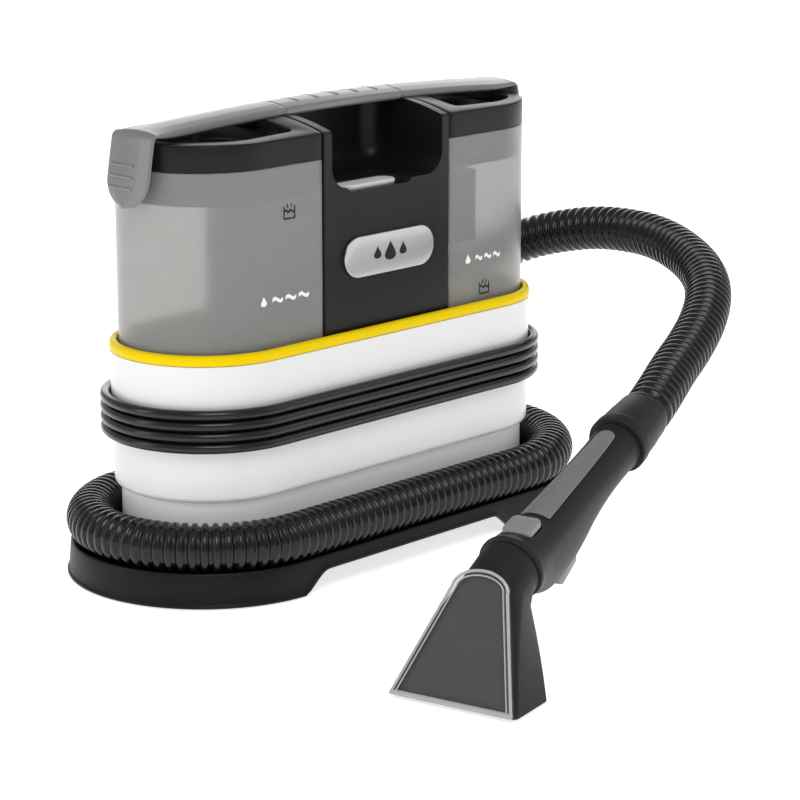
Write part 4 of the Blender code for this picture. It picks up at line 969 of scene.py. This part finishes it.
BAR_SHAPE = fillet([(0.0, 1.0), (-0.92, 1.0), (-1.0, 0.72), (-1.0, 0.26), (-0.94, 0.10),
                    (-0.5, 0.03), (0.0, 0.0), (0.5, 0.03), (0.92, 0.13), (1.0, 0.34), (1.0, 0.72),
                    (0.90, 1.0), (0.0, 1.0)],
                   (0, 0.10, 0.08, 0.10, 0.12, 0.6, 1.2, 0.6, 0.16, 0.14, 0.10, 0.12, 0), 4)[:-1]


def bar_section(at, inward, front, rear, thick):
    """Crowned section of the bar; at is the middle of its upper side."""
    crown_h = min(3.0, thick * 0.4)
    mid, half = (front + rear) / 2, (rear - front) / 2
    points = []
    for across, depth in BAR_SHAPE:
        drop = depth * thick + crown_h * across * across * (1 - depth)
        points.append((at[0] + inward[0] * drop, mid + half * across, at[1] + inward[1] * drop))
    return points


def lever_rings(side):
    """Stations from the rounded inner end, along the bar, over the corner and down the tab."""
    rings = []
    first = PIVOT_X - KNUCKLE - 1.5
    corner = 7.0
    last = BAR_END - corner
    for i in range(31):
        x = first + (last - first) * i / 30
        front, rear = bar_width(x)
        blend = max(0.0, (x - 150.0) / (last - 150.0)) ** 2
        thick = (bar_top(x) - bar_base(x)) * (1 - blend) + 5.0 * blend
        rings.append(bar_section((side * x, bar_top(x)), (0, -1), front, rear, thick))
    top = bar_top(BAR_END)
    for i in range(1, 9):
        a = math.radians(90 * i / 9)
        at = (side * (last + corner * math.sin(a)), top + 0.8 * (1 - i / 9) - corner * (1 - math.cos(a)))
        rings.append(bar_section(at, (-side * math.sin(a), -math.cos(a)), -TAB_HALF, TAB_HALF, 4.8))
    round_end = 19.0
    start = top - corner
    stop = TAB_BOTTOM + round_end
    for i in range(7):
        z = start + (stop - start) * i / 6
        rings.append(bar_section((side * tab_x(z), z), (-side, 0), -TAB_HALF, TAB_HALF, 4.6))
    for i in range(1, 15):
        a = math.radians(86 * i / 14)
        half = TAB_HALF * math.cos(a)
        z = TAB_BOTTOM + round_end * (1 - math.sin(a))
        rings.append(bar_section((side * tab_x(z), z), (-side, 0), -half, half, 4.5))
    return rings


def tab_x(z):
    """The tab leans out towards its lower end."""
    start = bar_top(BAR_END) - 7.0
    t = min(1.0, max(0.0, (start - z) / (start - TAB_BOTTOM)))
    return BAR_END + TAB_LEAN * (1.15 * t - 0.15 * t * t)


def rib_mark(points, radius):
    """Thin raised line with rounded ends along given points."""
    return skin(sweep(points, [radius * 0.2] + [radius] * (len(points) - 2) + [radius * 0.2], 10))


def make_bar():
    reach = PIVOT_X
    rings = []
    for i in range(25):
        x = -reach + 2 * reach * i / 24
        front, rear = bar_width(x)
        rings.append(bar_section((x, bar_top(x)), (0, -1), front, rear, bar_top(x) - bar_base(x)))
    grip = make("centre_grip_bar", [skin(rings)], LOOKS["grey_grip"])
    tools = []
    for side in (-1, 1):
        tools.append(round_bar(f"end_{side + 1}", side, KNUCKLE + 0.5, -60, 60))
        inner, outer = sorted((side * (PIVOT_X - KNUCKLE - 0.5), side * (PIVOT_X + 5)))
        tools.append(make(f"way_{side + 1}", [box_part((inner, -60, PIVOT_Z), (outer, 60, 340))], None))
    cut(grip, tools, bevel=0.35)
    stand_for(grip, "centre_grip")
    marks = []
    for x in (-40.0, -20.0, 0.0, 20.0, 40.0):
        points = []
        for y in (-9.0, -8.6, -5.0, 0.0, 5.0, 8.6, 9.0):
            fall = 3.0 * ((y - (BAR_FRONT + BAR_REAR) / 2) / ((BAR_REAR - BAR_FRONT) / 2)) ** 2
            points.append((x + 0.02 * y * y, y + (BAR_FRONT + BAR_REAR) / 2, bar_top(x) - fall * 0.97 - 0.35))
        marks.append(rib_mark(points, 0.6))
    go_with(make("centre_grip_marks", marks, LOOKS["print_grey"]), "centre_grip")


def knuckle_outline(side):
    outline = []
    for i in range(41):
        turn = math.radians(-90 + 180 * i / 40)
        outline.append((side * (PIVOT_X - KNUCKLE * math.cos(turn)), PIVOT_Z + KNUCKLE * math.sin(turn)))
    return outline + [(side * 215, PIVOT_Z + KNUCKLE), (side * 215, 240.0), (side * (PIVOT_X + 2), 240.0)]


def make_lever(side, label):
    lever = make(f"{label}_lever_bar", [skin(lever_rings(side))], LOOKS["grey_grip"])
    outline = knuckle_outline(side)
    keep = make("keep", [skin([[(px, y, pz) for px, pz in outline] for y in (-60.0, 60.0)])], None)
    cut(lever, [keep], "INTERSECT")
    slot = make("slot", [box_part((side * PIVOT_X - 10.4, -4.3, 300),
                                  (side * PIVOT_X + 10.4, 4.3, PIVOT_Z + 3.8))], None)
    cut(lever, [slot, round_bar("bore", side, 1.9, -13, 13, 24)], bevel=0.3)
    stand_for(lever, f"{label}_lever")
    marks = []
    for z in (295.3, 287.8, 280.2):
        points = [(side * (tab_x(z) - 0.1 - 1.84 * (y / TAB_HALF) ** 2), y, z)
                  for y in (-7, -6.6, -3, 1, 5, 9, 13, 16.6, 17)]
        marks.append(rib_mark(points, 0.9))
    go_with(make(f"{label}_lever_marks", marks, LOOKS["grey_grip"]), f"{label}_lever")


# ---------------------------------------------------------------- tanks
def make_tank(side, label):
    low, high = TANK_Z
    outer = fillet([(7.0, low), (0.0, low), (0.0, 200.0), (0.0, high - 0.3), (0.6, high), (TANK_WALL, high),
                    (TANK_WALL, 200.0), (TANK_WALL, low + 2.6), (8.0, low + 2.6)],
                   (0, 3.0, 0, 0, 0, 0, 0, 2.0, 0), 5)
    rings = rings_of(lambda inset: d_shape(side, inset), outer)
    shell = make(f"{label}_tank_clear", [skin(rings)], LOOKS["smoke_clear"])
    if side < 0:
        hole = make("hole", [skin([circle(7.5, z, (-95, 0), 48) for z in (130, 150)])], None)
    else:
        hole = air_port("hole", 60.0, 75.0)
    cut(shell, [hole])
    stand_for(shell, f"{label}_tank_shell")


def printed(name, parts, node, finish):
    go_with(make(name, parts, LOOKS[finish]), node)


def front_strip(points, width, y, thick=PRINT):
    """Flat printed line on the front, through points given as (x, z)."""
    parts = []
    for (x0, z0), (x1, z1) in zip(points, points[1:]):
        d = Vector((x1 - x0, z1 - z0)).normalized() * width / 2
        n = Vector((-d.y, d.x))
        ring = [(x0 - d.x + n.x, z0 - d.y + n.y), (x1 + d.x + n.x, z1 + d.y + n.y),
                (x1 + d.x - n.x, z1 + d.y - n.y), (x0 - d.x - n.x, z0 - d.y - n.y)]
        parts.append(skin([[(x, yy, z) for x, z in ring] for yy in (y, y - thick)]))
    return parts


def make_signs():
    """Plain level and drop signs printed on the tanks, with no words."""
    front = -TANK_HALF
    for node, x, z in (("fresh_tank_shell", -97.5, 259.5), ("dirt_tank_shell", 102.5, 177.0)):
        cup = [(x - 5.0, z + 3.4), (x - 5.0, z - 4.4), (x + 5.0, z - 4.4), (x + 5.0, z + 3.4)]
        level = [(x - 4.4 + 8.8 * i / 12, z + 0.6 + 0.8 * math.sin(4 * math.pi * i / 12))
                 for i in range(13)]
        parts = front_strip(cup, 1.1, front) + front_strip(level, 1.0, front)
        for dx in (-2.0, 2.0):
            parts += front_strip([(x + dx, z + 3.6), (x + dx, z + 5.2)], 1.0, front)
        printed(f"{node}_level_sign", parts, node, "print_black")
    for node, x0, x1, z in (("fresh_tank_shell", -126.0, -77.0, 200.5),
                            ("dirt_tank_shell", 81.0, 122.0, 200.0)):
        drop = drop_outline(x0 + 3.4, z + 0.6, 3.4, 3.6)
        parts = [skin([[(x, y, zz) for x, zz in drop] for y in (front, front - PRINT)])]
        for k in range(3):
            x = x0 + 11.5 + (x1 - x0 - 11.5) * k / 3
            wide = (x1 - x0 - 11.5) / 3 - 2.4
            wave = [(x + wide * i / 12, z + 1.1 * math.sin(2 * math.pi * i / 12)) for i in range(13)]
            shape = [(wx, wz - 1.3) for wx, wz in wave] + [(wx, wz + 1.3) for wx, wz in wave[::-1]]
            parts.append(skin([[(wx, y, wz) for wx, wz in shape] for y in (front, front - PRINT)]))
        printed(f"{node}_water_sign", parts, node, "print_white")


def make_separator():
    low, high = span("dirt_separator")
    mid = (low + high) / 2
    half = (high - low) / 2
    rings = []
    for inset, z in fillet([(1.6, low.z), (0.0, low.z), (0.0, high.z), (1.6, high.z), (1.6, low.z)],
                           (0, 0.6, 0.6, 0, 0), 3):
        rings.append([(x, y, z) for x, y in rounded(half.x - inset, half.y - inset, 5.0 - inset,
                                                    (mid.x, mid.y), 8)])
    chamber = make("dirt_separator_box", [skin(rings, closed=True)], LOOKS["smoke_inner"])
    stand_for(chamber, "dirt_separator")


# ---------------------------------------------------------------- wand
def egg(x, half, top, bottom, steps=56):
    ring = []
    for i in range(steps):
        turn = 2 * math.pi * i / steps
        tall = top if math.sin(turn) > 0 else bottom
        ring.append((x, half * math.cos(turn), tall * math.sin(turn)))
    return ring


HANDLE = ((0, 22.4, 22.4, 22.4), (3, 22.4, 22.4, 22.4), (9, 21.2, 20.2, 24.5),
          (20, 19.6, 18.4, 32.0), (32, 18.8, 17.6, 36.5), (52, 18.2, 16.9, 37.0),
          (72, 17.6, 16.4, 33.0), (92, 17.0, 15.8, 25.0), (114, 16.8, 15.4, 19.5),
          (136, 16.8, 15.6, 18.0), (HANDLE_LEN, 17.4, 17.0, 18.0))


def handle_at(x):
    """Half width, height above and depth below the axis at x along the handle."""
    for a, b in zip(HANDLE_FINE, HANDLE_FINE[1:]):
        if a[0] <= x <= b[0]:
            t = (x - a[0]) / (b[0] - a[0])
            return tuple(p + (q - p) * t for p, q in zip(a[1:], b[1:]))
    return HANDLE_FINE[-1][1:]


HANDLE_FINE = [(0.0, 21.6, 21.6, 21.6), (0.35, 22.2, 22.2, 22.2), (0.9, 22.4, 22.4, 22.4)]
HANDLE_FINE += [row for row in through(HANDLE[1:], 54)]


def wand_block(low, high):
    return make("wand_tool", [box_part(low, high)], None, place=WAND)


def inlay_outline(grow, count=60):
    """Outline of the grip pad, and where the rows of its surface run: (x, half width) pairs."""
    x0, x1, front, rear = 38.0 - grow, 138.0, 10.4 + grow, 6.8 + grow
    rows = []
    for i in range(count + 1):
        t = i / count
        x = x0 + (x1 - x0) * t
        half = front + (rear - front) * t
        if i == 0:
            half -= 1.6
        rows.append((x, half))
    rows.insert(1, (x0 + 0.5, front - 0.5))
    rows.insert(2, (x0 + 1.6, front - 0.06))
    for i in range(1, 9):
        a = math.pi / 2 * i / 8
        rows.append((x1 + (5.0 + grow) * math.sin(a), rear * max(0.02, math.cos(a))))
    return rows


def on_handle(x, y, lift):
    half, top, _ = handle_at(x)
    return (x, y, (top + lift) * math.sqrt(max(0.0, 1 - (y / (half + lift)) ** 2)))


def pad_mesh(grow, lift, deep, across=20):
    """A thin pad that follows the handle's top, with its own edge."""
    verts, faces = [], []
    rows = inlay_outline(grow)
    for x, half in rows:
        line = [on_handle(x, -half, -deep)]
        line += [on_handle(x, half * (2 * j / across - 1), lift) for j in range(across + 1)]
        line += [on_handle(x, half, -deep)]
        verts += line
    wide = across + 3
    for i in range(len(rows) - 1):
        for j in range(wide - 1):
            a = i * wide + j
            faces.append((a, a + 1, a + wide + 1, a + wide))
    faces.append(tuple(range(wide)))
    end = (len(rows) - 1) * wide
    faces.append(tuple(range(end, end + wide))[::-1])
    return verts, faces


def make_wand():
    outer = [egg(*s) for s in HANDLE_FINE]
    outer += [egg(x, 14.0, 14.0, 14.0) for x in (HANDLE_LEN, 178.0)]
    bore = [egg(x, 11.0, 11.0, 11.0) for x in (178.0, 90.0, 0.0)]
    handle = make("wand_handle_shell", [skin(outer + bore, closed=True)], LOOKS["wand_black"], place=WAND)
    release = make("release_room", [skin([[(x, y, z) for x, y in rounded(9.7, 10.9, 4.4, (21.0, 0.0), 8)]
                                          for z in (13.4, 40.0)])], None, place=WAND)
    tools = [wand_block((41, -7.6, -60), (73.6, 7.6, -15)),
             wand_block((66, -7.6, -24), (92, 7.6, -13.5)), release]
    cut(handle, tools, bevel=0.4)
    stand_for(handle, "wand_handle")
    seam = make("grip_inlay_seam", [pad_mesh(0.55, 0.05, 1.2)], LOOKS["seam_dark"], place=WAND)
    go_with(seam, "grip_inlay")
    pad = make("grip_inlay_pad", [pad_mesh(0.0, 0.45, 1.2)], LOOKS["grey_grip"], place=WAND)
    stand_for(pad, "grip_inlay")
    hatch = []
    for i in range(40):
        x = 43.0 + 2.35 * i
        points = []
        for k in range(7):
            y = -6.0 + 12.0 * k / 6
            px = x + 0.8 * y
            half = 10.4 - 3.6 * (px - 38.0) / 100.0 - 1.2
            if abs(y) < half and 42 < px < 137:
                points.append(on_handle(px, y, 0.42))
        if len(points) > 3:
            hatch.append(rib_mark(points, 0.26))
    go_with(make("grip_inlay_hatch", hatch, LOOKS["grey_grip"], place=WAND), "grip_inlay")

    section = fillet([(43.2, -17.6), (43.2, -39.0), (48.0, -42.5), (68.0, -37.5), (70.5, -33.0),
                      (70.0, -20.5), (43.2, -17.6)], (0, 2.0, 3.0, 2.5, 2.0, 0, 0), 5)[:-1]
    rings = []
    for y, inset in ((-6.9, 1.0), (-6.5, 0.3), (-5.8, 0.0), (5.8, 0.0), (6.5, 0.3), (6.9, 1.0)):
        cx, cz = 56.5, -29.0
        rings.append([(cx + (x - cx) * (1 - inset / 14), y, cz + (z - cz) * (1 - inset / 12))
                      for x, z in section])
    trigger = make("spray_trigger_blade", [skin(rings)], LOOKS["grey_grip"], place=WAND)
    stand_for(trigger, "spray_trigger")

    rings = []
    for inset, z in fillet([(0.0, 16.3), (0.0, 20.2), (8.0, 20.6)], (0, 1.4, 0), 5):
        outline = rounded(9.2 - inset, 10.4 - inset, max(0.6, 4.0 - inset), (21.0, 0.0), 8)
        rings.append([(x, y, z) for x, y in outline])
    parts = [skin(rings)]
    for k in range(3):
        x = 17.4 + 3.6 * k
        parts.append(rib_mark([(x, y, 20.35) for y in (-5.5, -5.2, -3, 0, 3, 5.2, 5.5)], 0.6))
    button = make("release_button_cap", parts, LOOKS["release_grey"], place=WAND)
    stand_for(button, "release_button")

    profile = fillet([(CUFF_X[0], 19.0), (CUFF_X[0], 20.7), (158.5, 20.7), (160.0, 19.9), (175.0, 19.2),
                      (176.5, 18.9), (CUFF_X[1], 17.9), (CUFF_X[1], 14.6), (CUFF_X[0], 14.6),
                      (CUFF_X[0], 19.0)],
                     (0, 0.9, 0.6, 0.6, 0, 0, 0.7, 0, 0, 0), 4)[:-1]
    cuff = make("hose_cuff_ring", [skin([egg(x, r, r, r) for x, r in profile], closed=True)],
                LOOKS["wand_black"], place=WAND)
    stand_for(cuff, "hose_cuff")
    make_nozzle()


def nozzle_ring(t, inset, steps=9):
    """Section of the nozzle at t, from the mouth at 0 to the neck at 1."""
    front = NOZZLE_FRONT[0].lerp(NOZZLE_FRONT[1], t)
    back = NOZZLE_BACK[0].lerp(NOZZLE_BACK[1], t)
    across = (front - back).normalized()
    mid = (front + back) / 2
    half = NOZZLE_HALF[0] + (NOZZLE_HALF[1] - NOZZLE_HALF[0]) * t - inset
    deep = (front - back).length / 2 - inset
    radius = (4.0 + (min(half, deep) - 4.5) * t ** 3) if inset <= 0 else min(half, deep) * 0.3
    ring = []
    for y, d in rounded(half, deep, radius, steps=steps):
        ring.append((mid.x + across.x * d, y, mid.y + across.y * d))
    return ring


def neck_ring(x, radius, count):
    per = count // 4
    ring = []
    for k in range(4):
        for i in range(per):
            turn = math.pi / 2 * (k + i / (per - 1)) * 0.999
            ring.append((x, radius * math.cos(turn), radius * math.sin(turn)))
    return ring


def window_outline(inset, count=24):
    """Outline of the nozzle's window along its front face: (distance up the face, y)."""
    length = (NOZZLE_FRONT[1] - NOZZLE_FRONT[0]).length
    top = length * 0.84
    outline = [(0.0, 43.6 - inset), (top, 20.4 - inset)]
    for i in range(1, count):
        turn = math.pi * i / count
        outline.append((top + (13.0 - inset) * math.sin(turn), (20.4 - inset) * math.cos(turn)))
    outline += [(top, -(20.4 - inset)), (0.0, -(43.6 - inset))]
    return outline


def on_face(outline, lift, start=0.0):
    along = (NOZZLE_FRONT[1] - NOZZLE_FRONT[0]).normalized()
    out = Vector((-along.y, along.x))
    ring = []
    for s, y in outline:
        p = NOZZLE_FRONT[0] + along * max(s, start) + out * lift
        ring.append((p.x, y, p.y))
    return ring


def make_nozzle():
    steps = [0.93 * i / 16 for i in range(17)]
    outer = [nozzle_ring(t, 0.0) for t in steps]
    count = len(outer[0])
    outer += [neck_ring(x, r, count) for x, r in ((-6.0, 20.3), (-4.0, 20.6), (-1.2, 20.6), (-0.6, 20.0),
                                                  (-0.6, 10.4), (14.0, 10.4))]
    inner = [neck_ring(x, r, count) for x, r in ((14.0, 8.6), (-8.0, 8.6))]
    inner += [nozzle_ring(t, 2.2) for t in (0.75, 0.4, 0.0)]
    housing = make("nozzle_housing_shell", [skin(outer + inner, closed=True)], LOOKS["wand_black"],
                   place=WAND)
    stand_for(housing, "nozzle_housing")

    channel = make("nozzle_channel", [skin([on_face(window_outline(4.2), lift) for lift in (0.02, 0.3)])],
                   LOOKS["channel_grey"], place=WAND)
    go_with(channel, "nozzle_housing")
    rings = [on_face(window_outline(inset), lift) for inset, lift in
             ((0.3, GAP), (0.0, 0.8), (0.0, 2.5), (0.3, 3.0), (0.8, 3.2), (3.2, 3.2), (3.8, 2.9),
              (4.2, 2.2), (4.4, 1.5))]
    window = make("nozzle_window_pane", [skin(rings)], LOOKS["window_clear"], place=WAND)
    stand_for(window, "nozzle_window")
    edge = []
    for inset, radius in ((1.0, 1.0), (3.9, 0.55)):
        edge.append(skin(sweep(on_face(window_outline(inset), 2.7), radius, 10)))
    low = on_face([(1.6, y) for y in (-42.6, -42.2, -20.0, 0.0, 20.0, 42.2, 42.6)], 1.9)
    edge.append(rib_mark(low, 1.7))
    go_with(make("nozzle_window_rim", edge, LOOKS["clear_edge"], place=WAND), "nozzle_window")

    base = NOZZLE_BACK
    run = (base[1] - base[0]).normalized()
    away = Vector((run.y, -run.x))
    foot = base[0] + run * 16.0
    rings = []
    for lift, r in ((GAP, 5.0), (4.6, 5.0), (5.4, 4.4), (8.0, 3.1), (8.4, 2.4)):
        ring = []
        for i in range(32):
            turn = 2 * math.pi * i / 32
            p = foot + run * (r * math.cos(turn)) + away * lift
            ring.append((p.x, r * math.sin(turn), p.y))
        rings.append(ring)
    tip = make("spray_tip_cone", [skin(rings)], LOOKS["wand_black"], place=WAND)
    stand_for(tip, "spray_tip")


# ---------------------------------------------------------------- everything
def main():
    all_looks()
    make_camera()
    make_hose()
    make_cable()
    dress_cad_nodes()
    make_tray()
    make_housing()
    make_column()
    make_badge()
    make_bar()
    for side, label in ((-1, "fresh"), (1, "dirt")):
        make_lid(side, label)
        make_lever(side, label)
        make_tank(side, label)
    make_separator()
    make_signs()
    make_wand()
    make_studio()


main()
